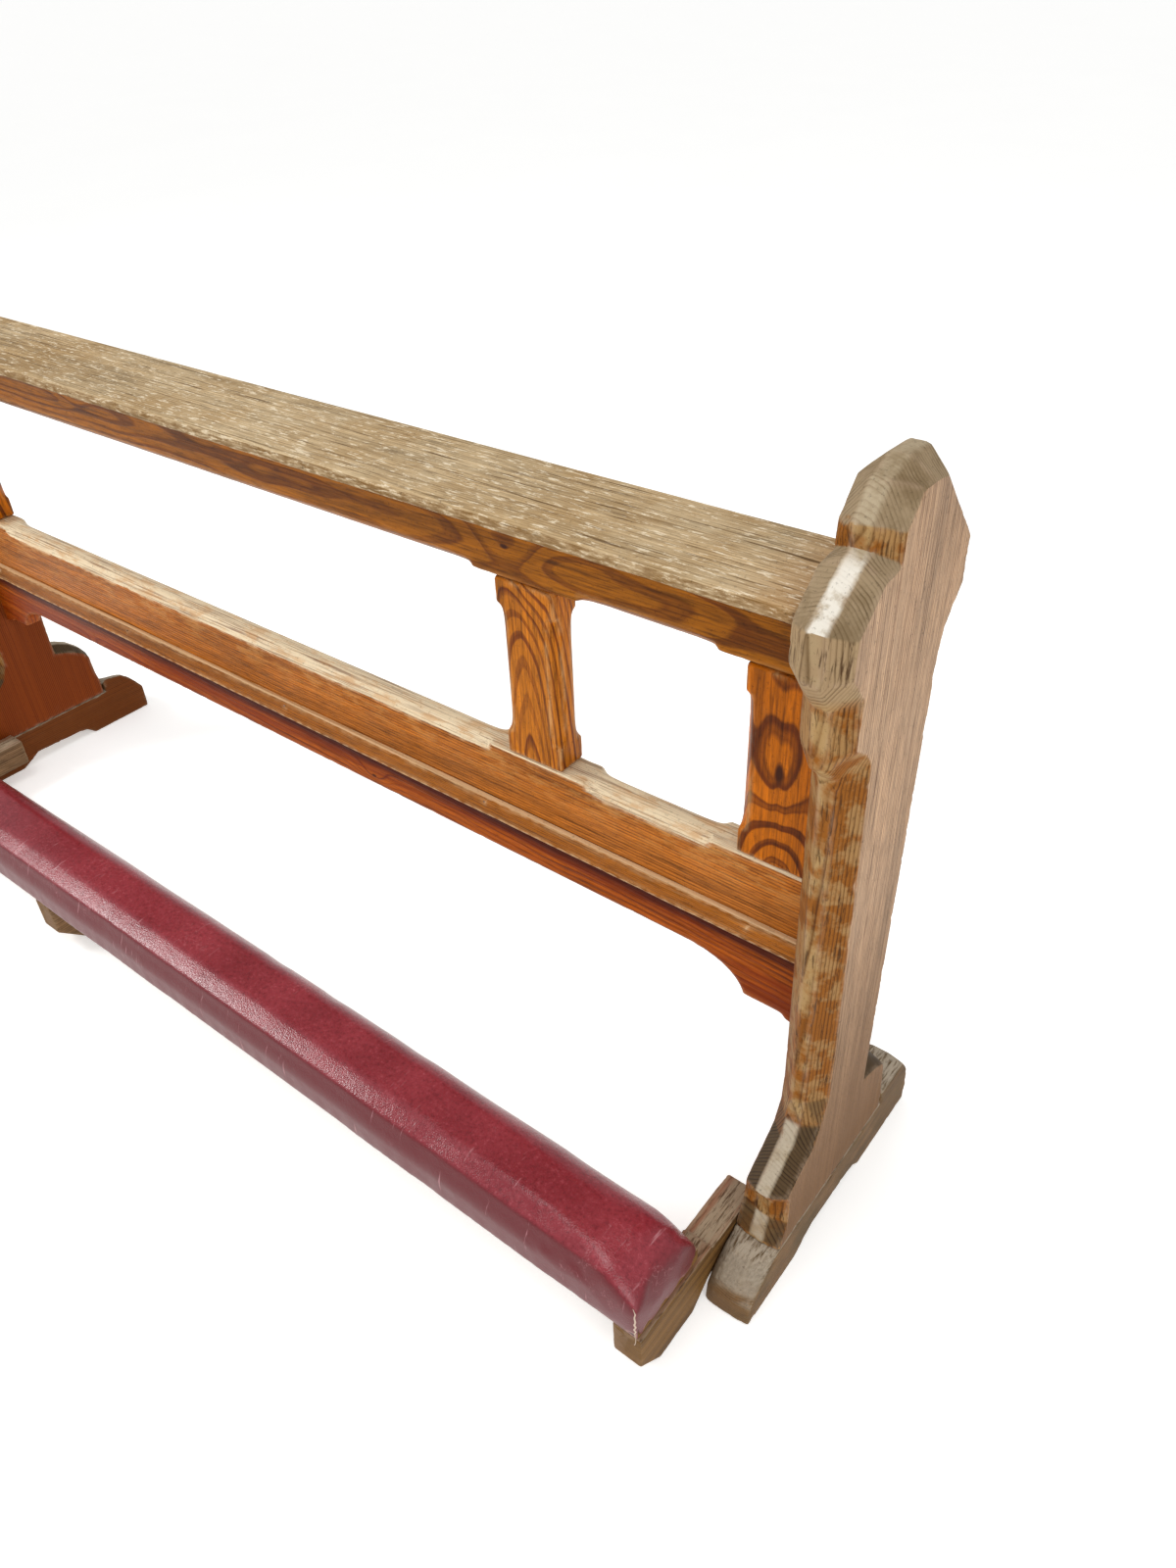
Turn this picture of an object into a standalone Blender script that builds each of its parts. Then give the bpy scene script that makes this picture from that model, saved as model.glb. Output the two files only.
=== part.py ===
"""Kneeling bench of pitch pine: two shaped ends, a book rest and rails, and a padded kneeler on pivots.

X runs along the bench, Y from the kneeler to the rear, Z up. Lengths are in metres.
Bench pieces are measured from the front of the toes, kneeler pieces from the pivot axis.
"""
from math import radians

import bmesh
import bpy
from mathutils import Matrix, Vector

# Driving dimensions
LENGTH = 1.642
END_THICKNESS = 0.054
FOOT_LENGTH = 0.374
SEAT_HEIGHT = 0.068
PAD_REACH = 0.121
GAP = 0.0003
STOCK = 0.038
RAIL_FRONT = 0.1655
TENON_LENGTH = 0.026
TENON_THICKNESS = 0.013
FOOT_TENON_LENGTH = 0.032
FOOT_TENONS = ((0.108, 0.158), (0.190, 0.240))
TENON_ROOT = 0.010
UPRIGHT_TENON_INSET = 0.012
RAIL_SHOULDER = 0.015
UPPER_RAIL_SHOULDER = 0.022
LOWER_RAIL_SHOULDER = 0.020
APRON_SHOULDER = 0.018
APRON_TENON_BOTTOM = 0.298
FACE_OVERCUT = 0.004
HOLE_OVERCUT = 0.002

INNER_X = LENGTH / 2 - END_THICKNESS
RAIL_BACK = RAIL_FRONT + STOCK
RAIL_MIDDLE = (RAIL_FRONT + RAIL_BACK) / 2
TOE_Y = (PAD_REACH - FOOT_LENGTH) / 2

# Heights of the rails and boards
REST_TOP = 0.799
REST_THICKNESS = 0.018
REST_FRONT = 0.078
REST_NOSE = 0.004
REST_NOSE_EASE = 0.0012
REST_BACK_EASE = 0.002
REST_UNDERCUT_HEIGHT = 0.008
REST_UNDERCUT_DEPTH = 0.014
UPPER_RAIL_BOTTOM = 0.6865
LOWER_RAIL_TOP = 0.476
LOWER_RAIL_BOTTOM = 0.384
APRON_BOTTOM = 0.325
APRON_THICKNESS = 0.026
APRON_SETBACK = 0.001
APRON_FRONT = RAIL_FRONT + APRON_SETBACK
MOULDING_TOP = 0.401
MOULDING_BOTTOM = 0.374
MOULDING_THICKNESS = 0.0065

# Uprights between the rails
STILE_WIDTH = 0.0885
MUNTIN_WIDTH = 0.074
MUNTIN_X = 0.4275

# Stopped chamfers: how far the cut has sunk at each distance from its end
CHAMFER = 0.011
CHAMFER_MARGIN = 0.027
STOP_CURVE = ((0.0, -0.1), (0.005, 0.75), (0.014, 0.93), (0.028, 1.0))

# Kneeler
PIVOT_Y = 0.076
PIVOT_Z = 0.0545
PIN_RADIUS = 0.006
PIN_CLEARANCE = 0.00006
PIN_IN_FOOT = 0.026
PIN_IN_ARM = 0.026
ARM_THICKNESS = 0.036
ARM_GAP = 0.0006
ARM_TOP = 0.083
BEARER_X = -0.305
BOARD_THICKNESS = 0.020
BOARD_FRONT = -0.1125
BOARD_BACK = -0.0075
PAD_END_GAP = 0.0012
PAD_SKIRT = 0.004
PAD_ROUNDING = 0.006
PAD_HOLLOW_BOTTOM = 0.070
PIVOT = Vector((0.0, PIVOT_Y, PIVOT_Z))

# Outline of an end's upright board as (y, z): middle of the thickness, inner face, outer face.
# What the faces fall short of the middle is the broad chamfer on the arrises.
END_OUTLINE = (
    ((0.0535, 0.0683), (0.0575, 0.0683), (0.0575, 0.0683)),
    ((0.0655, 0.1060), (0.0710, 0.1060), (0.0710, 0.1060)),
    ((0.0665, 0.1330), (0.0735, 0.1200), (0.0690, 0.1450)),
    ((0.0585, 0.1440), (0.0740, 0.1320), (0.0620, 0.1545)),
    ((0.0700, 0.1570), (0.0865, 0.1430), (0.0715, 0.1625)),
    ((0.0860, 0.1700), (0.1080, 0.1600), (0.0890, 0.1740)),
    ((0.1030, 0.1850), (0.1260, 0.1755), (0.1110, 0.1870)),
    ((0.1120, 0.2080), (0.1375, 0.2010), (0.1225, 0.2110)),
    ((0.1165, 0.2400), (0.1390, 0.2350), (0.1355, 0.2450)),
    ((0.1025, 0.6400), (0.1270, 0.6350), (0.1212, 0.6440)),
    ((0.0990, 0.6530), (0.1150, 0.6560), (0.1200, 0.6670)),
    ((0.0815, 0.6700), (0.1050, 0.6700), (0.1100, 0.6805)),
    ((0.0790, 0.6850), (0.0990, 0.6860), (0.0885, 0.6945)),
    ((0.0765, 0.7290), (0.0980, 0.7240), (0.0910, 0.7385)),
    ((0.0555, 0.7585), (0.0700, 0.7640), (0.0680, 0.7660)),
    ((0.0560, 0.8020), (0.0700, 0.7970), (0.0700, 0.7970)),
    ((0.1030, 0.8365), (0.1010, 0.8270), (0.1010, 0.8270)),
    ((0.1120, 0.8400), (0.1250, 0.8300), (0.1250, 0.8300)),
    ((0.1090, 0.8615), (0.1275, 0.8530), (0.1260, 0.8550)),
    ((0.1310, 0.8860), (0.1510, 0.8780), (0.1480, 0.8795)),
    ((0.1580, 0.8965), (0.1660, 0.8780), (0.1650, 0.8790)),
    ((0.1900, 0.8955), (0.1865, 0.8755), (0.1865, 0.8755)),
    ((0.2560, 0.8085), (0.2530, 0.8060), (0.2530, 0.8060)),
    ((0.2565, 0.7650), (0.2535, 0.7665), (0.2535, 0.7665)),
    ((0.2320, 0.7330), (0.2295, 0.7350), (0.2295, 0.7350)),
    ((0.2280, 0.7150), (0.2255, 0.7150), (0.2255, 0.7150)),
    ((0.2280, 0.1935), (0.2255, 0.1815), (0.2255, 0.1815)),
    ((0.2440, 0.1885), (0.2410, 0.1765), (0.2410, 0.1765)),
    ((0.2610, 0.1800), (0.2590, 0.1690), (0.2590, 0.1690)),
    ((0.2790, 0.1635), (0.2750, 0.1590), (0.2750, 0.1590)),
    ((0.2885, 0.1480), (0.2830, 0.1480), (0.2830, 0.1480)),
    ((0.2900, 0.1120), (0.2850, 0.1120), (0.2850, 0.1120)),
    ((0.2925, 0.0950), (0.2885, 0.0950), (0.2885, 0.0950)),
    ((0.2925, 0.0683), (0.2885, 0.0683), (0.2885, 0.0683)),
)
END_CHAMFERS = (0.0198, 0.0198)

# Outline of a foot, in the same way: its toe and seat, each heel, and its underside with the arch.
# The left heel is worn lower towards its outer side.
TOE_OUTLINE = (
    ((0.0000, 0.0000), (0.0015, 0.0000), (0.0015, 0.0000)),
    ((0.0000, 0.0280), (0.0040, 0.0260), (0.0040, 0.0260)),
    ((0.0040, 0.0430), (0.0120, 0.0380), (0.0120, 0.0380)),
    ((0.0170, 0.0560), (0.0250, 0.0490), (0.0250, 0.0490)),
    ((0.0330, 0.0650), (0.0400, 0.0590), (0.0400, 0.0590)),
    ((0.0510, 0.0680), (0.0530, 0.0655), (0.0530, 0.0655)),
    ((0.0560, 0.0680), (0.0560, 0.0680), (0.0560, 0.0680)),
    ((0.2931, 0.0680), (0.2931, 0.0680), (0.2931, 0.0680)),
)
HEEL_RIGHT = (
    ((0.2931, 0.0920), (0.2931, 0.0880), (0.2931, 0.0860)),
    ((0.3010, 0.0965), (0.3010, 0.0925), (0.3010, 0.0870)),
    ((0.3250, 0.0975), (0.3240, 0.0930), (0.3230, 0.0860)),
    ((0.3465, 0.0950), (0.3440, 0.0900), (0.3490, 0.0862)),
    ((0.3600, 0.0750), (0.3560, 0.0700), (0.3600, 0.0715)),
    ((0.3700, 0.0570), (0.3660, 0.0540), (0.3676, 0.0585)),
    ((0.3740, 0.0240), (0.3710, 0.0240), (0.3740, 0.0240)),
    ((0.3720, 0.0000), (0.3700, 0.0000), (0.3718, 0.0000)),
)
HEEL_LEFT = (
    ((0.2931, 0.0805), (0.2931, 0.0900), (0.2931, 0.0700)),
    ((0.3030, 0.0800), (0.3000, 0.0930), (0.3010, 0.0690)),
    ((0.3150, 0.0765), (0.3140, 0.0900), (0.3140, 0.0650)),
    ((0.3310, 0.0735), (0.3300, 0.0868), (0.3270, 0.0590)),
    ((0.3440, 0.0685), (0.3415, 0.0768), (0.3400, 0.0520)),
    ((0.3570, 0.0560), (0.3560, 0.0570), (0.3560, 0.0400)),
    ((0.3690, 0.0360), (0.3645, 0.0450), (0.3660, 0.0240)),
    ((0.3700, 0.0000), (0.3640, 0.0000), (0.3670, 0.0000)),
)
ARCH_OUTLINE = (
    ((0.2500, 0.0000), (0.2500, 0.0000), (0.2500, 0.0000)),
    ((0.2360, 0.0125), (0.2360, 0.0125), (0.2360, 0.0125)),
    ((0.2200, 0.0165), (0.2200, 0.0165), (0.2200, 0.0165)),
    ((0.1370, 0.0185), (0.1370, 0.0185), (0.1370, 0.0185)),
    ((0.1250, 0.0125), (0.1250, 0.0125), (0.1250, 0.0125)),
    ((0.1020, 0.0000), (0.1020, 0.0000), (0.1020, 0.0000)),
)
FOOT_OUTLINES = {
    "left": TOE_OUTLINE + HEEL_LEFT + ARCH_OUTLINE,
    "right": TOE_OUTLINE + HEEL_RIGHT + ARCH_OUTLINE,
}
FOOT_CHAMFERS = (0.011, 0.020)

# One end bracket of the apron as (distance from the end, z): a step, a flat and a hollow curve
BRACKET = (
    (0.0, 0.2755), (0.012, 0.2790), (0.020, 0.2810), (0.024, 0.2865), (0.031, 0.2870), (0.071, 0.2870),
)
BRACKET_CURVE_START = Vector((0.0715, 0.2910))
BRACKET_CURVE_END = Vector((0.1350, APRON_BOTTOM))
BRACKET_CURVE_PULL = Vector((0.013, -0.004))
CURVE_STEPS = 7

# Side view of a kneeler arm and of the middle bearer, as (y, z) from the toes and the floor
BEARER_NOSE = ((-0.1145, ARM_TOP), (-0.1145, 0.034), (-0.080, 0.0), (-0.019, 0.0), (0.010, 0.029))
ARM_TAIL = ((0.018, 0.0315), (0.102, 0.0315), (0.102, 0.0775), (0.0145, 0.0775), (0.0145, ARM_TOP))
BEARER_TAIL = ((-0.004, 0.013), (-0.004, ARM_TOP))

# Section of the padding over the kneeler board, from the front hem over the crown to the rear hem
PAD_SECTION = (
    (-0.1165, 0.0835), (-0.1200, 0.1000), (-0.1210, 0.1280), (-0.1165, 0.1470), (-0.1040, 0.1580),
    (-0.0850, 0.1630), (-0.0600, 0.1640), (-0.0390, 0.1590), (-0.0190, 0.1450), (-0.0085, 0.1250),
    (-0.0045, 0.1000), (-0.0035, 0.0835),
)

# Fasteners
SCREW_SHANK = 0.0025
SCREW_HEAD = 0.0045
SCREW_HEAD_DEPTH = 0.003
SCREW_LENGTH = 0.055
SCREW_ROWS = (-0.090, -0.035)
NAIL_RADIUS = 0.0022
NAIL_LENGTH = 0.045
NAIL_BORE_IN_REST = 0.030
MOULDING_PIN_RADIUS = NAIL_RADIUS * 0.6
MOULDING_PIN_LENGTH = 0.022
MOULDING_PIN_BORE = 0.012
REST_NAILS = (-0.62, -0.22, 0.22, 0.62)
MOULDING_PINS = (-0.70, -0.35, 0.0, 0.35, 0.70)
DOWEL_RADIUS = 0.004
DOWEL_LENGTH = 0.040
DOWEL_Y = 0.135
ROUND_SIDES = 48
SMALL_SIDES = 16

# How far each kind of arris is eased
EASE_FINE = 0.0010
EASE = 0.0012
EASE_END = 0.0015
EASE_MOULDING = 0.0018
EASE_FOOT = 0.0020

# Colour and roughness of each material
FINISHES = {
    "weathered_pine": ((0.33, 0.24, 0.15, 1.0), 0.62),
    "end_pine": ((0.42, 0.27, 0.18, 1.0), 0.55),
    "foot_pine": ((0.24, 0.16, 0.09, 1.0), 0.65),
    "varnished_pine": ((0.42, 0.17, 0.04, 1.0), 0.38),
    "apron_pine": ((0.34, 0.10, 0.02, 1.0), 0.38),
    "bearer_pine": ((0.24, 0.14, 0.06, 1.0), 0.60),
    "leatherette": ((0.24, 0.016, 0.030, 1.0), 0.40),
    "steel": ((0.35, 0.34, 0.33, 1.0), 0.40),
}


def clear_scene():
    """Remove whatever the file already holds."""
    for item in list(bpy.data.objects):
        bpy.data.objects.remove(item, do_unlink=True)


def new_collection(name):
    """Return a new collection linked to the scene."""
    collection = bpy.data.collections.new(name)
    bpy.context.scene.collection.children.link(collection)
    return collection


def make_material(part_name, finish):
    """Return this part's own material in one of the named finishes."""
    colour, roughness = FINISHES[finish]
    material = bpy.data.materials.new(f"{part_name}_{finish}")
    material.use_nodes = True
    shader = material.node_tree.nodes["Principled BSDF"]
    shader.inputs["Base Color"].default_value = colour
    shader.inputs["Roughness"].default_value = roughness
    shader.inputs["Metallic"].default_value = 1.0 if finish == "steel" else 0.0
    return material


def new_object(name, mesh, collection, parent, location=(0, 0, 0)):
    """Wrap a mesh in an object, hung from its parent empty."""
    item = bpy.data.objects.new(name, mesh)
    item.parent = parent
    item.location = location
    collection.objects.link(item)
    return item


def mesh_from(bm, name):
    """Turn a bmesh into mesh data with its faces pointing outward."""
    bmesh.ops.recalc_face_normals(bm, faces=bm.faces)
    mesh = bpy.data.meshes.new(name)
    bm.to_mesh(mesh)
    bm.free()
    return mesh


def box_mesh(name, low, high):
    """Return a box between two corners."""
    low, high = Vector(low), Vector(high)
    bm = bmesh.new()
    bmesh.ops.create_cube(bm, size=1.0)
    bmesh.ops.scale(bm, verts=bm.verts, vec=high - low)
    bmesh.ops.translate(bm, verts=bm.verts, vec=(low + high) / 2)
    return mesh_from(bm, name)


def rod_mesh(name, radius, length, axis, sides=SMALL_SIDES, head_radius=0.0, head_depth=0.0):
    """Return a rod that starts at its object's origin and runs along axis, with an optional cone head."""
    bm = bmesh.new()
    made = bmesh.ops.create_cone(bm, cap_ends=True, segments=sides, radius1=radius, radius2=radius,
                                 depth=length)
    bmesh.ops.translate(bm, verts=made["verts"], vec=(0, 0, length / 2))
    if head_radius:
        low_ring = [vert for vert in bm.verts if vert.co.z < length / 2]
        cap = next(face for face in bm.faces if all(vert in low_ring for vert in face.verts))
        inset = bmesh.ops.extrude_face_region(bm, geom=[cap])
        rim = [item for item in inset["geom"] if isinstance(item, bmesh.types.BMVert)]
        bmesh.ops.delete(bm, geom=[cap], context="FACES_ONLY")
        bmesh.ops.translate(bm, verts=rim, vec=(0, 0, -head_depth))
        grow = head_radius / radius
        bmesh.ops.scale(bm, verts=rim, vec=(grow, grow, 1.0))
        bmesh.ops.translate(bm, verts=bm.verts, vec=(0, 0, head_depth))
    turn = Vector((0, 0, 1)).rotation_difference(Vector(axis)).to_matrix()
    bmesh.ops.rotate(bm, verts=bm.verts, matrix=turn)
    return mesh_from(bm, name)


def plate_mesh(name, outline, low_x, high_x):
    """Return a plate from a flat (y, z) outline, made as a filled 2D curve with an extrude."""
    curve = bpy.data.curves.new(name, "CURVE")
    curve.dimensions = "2D"
    curve.fill_mode = "BOTH"
    curve.extrude = (high_x - low_x) / 2
    spline = curve.splines.new("POLY")
    spline.points.add(len(outline) - 1)
    for point, (y, z) in zip(spline.points, outline):
        point.co = (y, z, 0.0, 1.0)
    spline.use_cyclic_u = True
    holder = bpy.data.objects.new(name, curve)
    bpy.context.scene.collection.objects.link(holder)
    mesh = bpy.data.meshes.new_from_object(holder.evaluated_get(bpy.context.evaluated_depsgraph_get()))
    bpy.data.objects.remove(holder)
    bpy.data.curves.remove(curve)
    bm = bmesh.new()
    bm.from_mesh(mesh)
    bpy.data.meshes.remove(mesh)
    bmesh.ops.remove_doubles(bm, verts=bm.verts, dist=0.00001)
    lay_along_x = Matrix(((0, 0, 1), (1, 0, 0), (0, 1, 0)))
    bmesh.ops.rotate(bm, verts=bm.verts, matrix=lay_along_x)
    bmesh.ops.translate(bm, verts=bm.verts, vec=((low_x + high_x) / 2, 0, 0))
    return mesh_from(bm, name)


def loft_mesh(name, outline, thickness, chamfers, hand):
    """Return a plate along X whose middle band is the first outline and whose faces are the other two.

    The inner face looks towards the middle of the bench, so it lies on the low side where hand is 1.
    """
    half = thickness / 2
    inner, outer = chamfers
    stations = ((-half, 1), (inner - half, 0), (half - outer, 0), (half, 2))
    bm = bmesh.new()
    rings = []
    for x, which in stations:
        rings.append([bm.verts.new((hand * x, *points[which])) for points in outline])
    count = len(outline)
    for near, far in zip(rings, rings[1:]):
        for i in range(count):
            j = (i + 1) % count
            bm.faces.new((near[i], near[j], far[j], far[i]))
    bm.faces.new(rings[0])
    bm.faces.new(rings[-1])
    return mesh_from(bm, name)


def add_bevel(item, width=EASE, segments=2, angle=35):
    """Ease an object's sharp arrises."""
    bevel = item.modifiers.new("eased_arrises", "BEVEL")
    bevel.width = width
    bevel.segments = segments
    bevel.limit_method = "ANGLE"
    bevel.angle_limit = radians(angle)


def add_boolean(item, other, operation):
    """Cut or join another object with an exact Boolean."""
    boolean = item.modifiers.new(other.name, "BOOLEAN")
    boolean.operation = operation
    boolean.solver = "EXACT"
    boolean.object = other


class Workshop:
    """Holds the two collections and the two parent empties, and makes parts and cutters."""

    def __init__(self):
        clear_scene()
        self.parts = new_collection("kneeling_bench")
        self.cutters = new_collection("cutters")
        self.bench = self.add_empty("bench_origin", (0, TOE_Y, 0))
        self.kneeler = self.add_empty("kneeler_pivot", (0, TOE_Y + PIVOT_Y, PIVOT_Z))

    def add_empty(self, name, location):
        empty = bpy.data.objects.new(name, None)
        empty.location = location
        bpy.context.scene.collection.objects.link(empty)
        return empty

    def add_part(self, name, mesh, finish, on_kneeler=False, location=(0, 0, 0)):
        """Add a named sub-part. Kneeler pieces are drawn from the toes and hung from the pivot."""
        parent = self.kneeler if on_kneeler else self.bench
        place = Vector(location) - (PIVOT if on_kneeler else Vector())
        item = new_object(name, mesh, self.parts, parent, place)
        mesh.materials.append(make_material(name, finish))
        return item

    def add_cutter(self, name, mesh, location=(0, 0, 0)):
        """Add a hidden tool object for a Boolean."""
        item = new_object(name, mesh, self.cutters, self.bench, location)
        item.hide_render = True
        item.display_type = "WIRE"
        return item

    def cut_box(self, item, low, high):
        """Cut a box out of an item."""
        name = f"{item.name}_cut_{len(item.modifiers)}"
        add_boolean(item, self.add_cutter(name, box_mesh(name, low, high)), "DIFFERENCE")

    def join_box(self, item, low, high):
        """Join a tenon to an item."""
        name = f"{item.name}_tenon_{len(item.modifiers)}"
        add_boolean(item, self.add_cutter(name, box_mesh(name, low, high)), "UNION")

    def bore(self, item, start, axis, radius, length, sides=SMALL_SIDES):
        """Bore a round hole that begins at start and runs along axis."""
        name = f"{item.name}_bore_{len(item.modifiers)}"
        mesh = rod_mesh(name, radius, length, axis, sides)
        add_boolean(item, self.add_cutter(name, mesh, start), "DIFFERENCE")

    def cut_stopped_chamfer(self, item, start, end, outward, size=CHAMFER):
        """Plane off the arris from start to end, with a curved stop at both ends."""
        name = f"{item.name}_chamfer_{len(item.modifiers)}"
        mesh = chamfer_mesh(name, Vector(start), Vector(end), Vector(outward).normalized(), size)
        add_boolean(item, self.add_cutter(name, mesh), "DIFFERENCE")


def chamfer_mesh(name, start, end, outward, size):
    """Return the tool of a stopped chamfer: a square bar that dips into the arris between its stops."""
    along = (end - start).normalized()
    length = (end - start).length
    sideways = along.cross(outward)
    depth = size * 0.5 ** 0.5
    half_width = size
    bm = bmesh.new()
    dips = [(distance, sunk) for distance, sunk in STOP_CURVE]
    dips += [(length - distance, sunk) for distance, sunk in reversed(STOP_CURVE)]
    rings = []
    for distance, sunk in dips:
        floor = start + along * distance - outward * depth * sunk
        corners = ((-half_width, 0.0), (half_width, 0.0), (half_width, 2 * size), (-half_width, 2 * size))
        rings.append([bm.verts.new(floor + sideways * side + outward * lift) for side, lift in corners])
    for near, far in zip(rings, rings[1:]):
        for i in range(4):
            j = (i + 1) % 4
            bm.faces.new((near[i], near[j], far[j], far[i]))
    bm.faces.new(rings[0])
    bm.faces.new(rings[-1])
    return mesh_from(bm, name)


def add_ends(shop):
    """Add the two shaped ends: an upright board tenoned into a foot on each side."""
    half = TENON_THICKNESS / 2
    bottom = SEAT_HEIGHT - FOOT_TENON_LENGTH
    root = SEAT_HEIGHT + TENON_ROOT
    for side, hand in (("left", -1), ("right", 1)):
        x = hand * (LENGTH / 2 - END_THICKNESS / 2)
        board_mesh = loft_mesh("end_board", END_OUTLINE, END_THICKNESS, END_CHAMFERS, hand)
        foot_mesh = loft_mesh("foot", FOOT_OUTLINES[side], END_THICKNESS, FOOT_CHAMFERS, hand)
        board = shop.add_part(f"end_board_{side}", board_mesh, "end_pine", location=(x, 0, 0))
        foot = shop.add_part(f"foot_{side}", foot_mesh, "foot_pine", location=(x, 0, 0))
        add_bevel(board, EASE_END)
        add_bevel(foot, EASE_FOOT)
        for front, back in FOOT_TENONS:
            shop.join_box(board, (x - half, front, bottom), (x + half, back, root))
            shop.cut_box(foot, (x - half - GAP, front - GAP, bottom - GAP), (x + half + GAP, back + GAP, root))
        cut_end_mortises(shop, board, hand)
        start = (hand * (INNER_X - FACE_OVERCUT), PIVOT_Y, PIVOT_Z)
        shop.bore(foot, start, (hand, 0, 0), PIN_RADIUS + PIN_CLEARANCE, PIN_IN_FOOT + FACE_OVERCUT + GAP,
                  ROUND_SIDES)


def tenon_spans():
    """Return each rail tenon as (front, back, bottom, top)."""
    half = TENON_THICKNESS / 2
    apron_middle = APRON_FRONT + APRON_THICKNESS / 2
    rest_bottom = REST_TOP - REST_THICKNESS
    return {
        "upper_rail": (RAIL_MIDDLE - half, RAIL_MIDDLE + half, UPPER_RAIL_BOTTOM + RAIL_SHOULDER,
                       rest_bottom - UPPER_RAIL_SHOULDER),
        "lower_rail": (RAIL_MIDDLE - half, RAIL_MIDDLE + half, LOWER_RAIL_BOTTOM + RAIL_SHOULDER,
                       LOWER_RAIL_TOP - LOWER_RAIL_SHOULDER),
        "apron": (apron_middle - half, apron_middle + half, APRON_TENON_BOTTOM,
                  LOWER_RAIL_BOTTOM - APRON_SHOULDER),
    }


def cut_end_mortises(shop, board, hand):
    """Cut the sockets that hold the rails' and the apron's tenons and the book rest's dowel."""
    for front, back, bottom, top in tenon_spans().values():
        xs = sorted((hand * (INNER_X - FACE_OVERCUT), hand * (INNER_X + TENON_LENGTH + GAP)))
        shop.cut_box(board, (xs[0], front - GAP, bottom - GAP), (xs[1], back + GAP, top + GAP))
    start = (hand * (INNER_X - FACE_OVERCUT), DOWEL_Y, REST_TOP - REST_THICKNESS / 2)
    shop.bore(board, start, (hand, 0, 0), DOWEL_RADIUS + GAP, DOWEL_LENGTH / 2 + FACE_OVERCUT + GAP)


def join_end_tenons(shop, item):
    """Give a rail or the apron a tenon at both ends."""
    front, back, bottom, top = tenon_spans()[item.name]
    shoulder = INNER_X - TENON_ROOT
    tip = INNER_X + TENON_LENGTH
    for low_x, high_x in ((-tip, -shoulder), (shoulder, tip)):
        shop.join_box(item, (low_x, front, bottom), (high_x, back, top))


def bays():
    """Return the two open bays between the uprights as (low x, high x)."""
    stile_edge = INNER_X - STILE_WIDTH
    return ((-stile_edge, MUNTIN_X - MUNTIN_WIDTH / 2), (MUNTIN_X + MUNTIN_WIDTH / 2, stile_edge))


def chamfer_rail(shop, rail, z, up):
    """Chamfer the front and back arrises of a rail along each open bay."""
    for low_x, high_x in bays():
        for y, away in ((RAIL_FRONT, -1), (RAIL_BACK, 1)):
            shop.cut_stopped_chamfer(rail, (low_x + CHAMFER_MARGIN, y, z), (high_x - CHAMFER_MARGIN, y, z),
                                     (0, away, up))


def add_rails(shop):
    """Add the upper and lower rails, tenoned into the ends."""
    reach = INNER_X - GAP
    rest_bottom = REST_TOP - REST_THICKNESS
    upper = shop.add_part("upper_rail", box_mesh("upper", (-reach, RAIL_FRONT, UPPER_RAIL_BOTTOM),
                                                 (reach, RAIL_BACK, rest_bottom - GAP)), "varnished_pine")
    lower = shop.add_part("lower_rail", box_mesh("lower", (-reach, RAIL_FRONT, LOWER_RAIL_BOTTOM),
                                                 (reach, RAIL_BACK, LOWER_RAIL_TOP)), "varnished_pine")
    chamfer_rail(shop, upper, UPPER_RAIL_BOTTOM, -1)
    chamfer_rail(shop, lower, LOWER_RAIL_TOP, 1)
    for rail in (upper, lower):
        add_bevel(rail)
        join_end_tenons(shop, rail)


def add_upright(shop, name, low_x, high_x, chamfered):
    """Add a stile or the muntin, tenoned into both rails, with stopped chamfers on the given edges."""
    mesh = box_mesh(name, (low_x, RAIL_FRONT, LOWER_RAIL_TOP + GAP),
                    (high_x, RAIL_BACK, UPPER_RAIL_BOTTOM - GAP))
    upright = shop.add_part(name, mesh, "varnished_pine")
    for x, away in chamfered:
        for y, outward in ((RAIL_FRONT, -1), (RAIL_BACK, 1)):
            shop.cut_stopped_chamfer(upright, (x, y, LOWER_RAIL_TOP + CHAMFER_MARGIN),
                                     (x, y, UPPER_RAIL_BOTTOM - CHAMFER_MARGIN), (away, outward, 0))
    add_bevel(upright)
    half = TENON_THICKNESS / 2
    inset = UPRIGHT_TENON_INSET
    lower, upper = shop.parts.objects["lower_rail"], shop.parts.objects["upper_rail"]
    for rail, inner, outer in ((lower, LOWER_RAIL_TOP + TENON_ROOT, LOWER_RAIL_TOP - TENON_LENGTH),
                               (upper, UPPER_RAIL_BOTTOM - TENON_ROOT, UPPER_RAIL_BOTTOM + TENON_LENGTH)):
        low, high = sorted((inner, outer))
        front, back = RAIL_MIDDLE - half, RAIL_MIDDLE + half
        shop.join_box(upright, (low_x + inset, front, low), (high_x - inset, back, high))
        shop.cut_box(rail, (low_x + inset - GAP, front - GAP, low - GAP),
                     (high_x - inset + GAP, back + GAP, high + GAP))


def add_uprights(shop):
    """Add the stile beside each end and the muntin between them."""
    reach = INNER_X - GAP
    edge = INNER_X - STILE_WIDTH
    half = MUNTIN_WIDTH / 2
    add_upright(shop, "stile_left", -reach, -edge, ((-edge, 1),))
    add_upright(shop, "stile_right", edge, reach, ((edge, -1),))
    add_upright(shop, "muntin", MUNTIN_X - half, MUNTIN_X + half, ((MUNTIN_X - half, -1), (MUNTIN_X + half, 1)))


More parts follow.
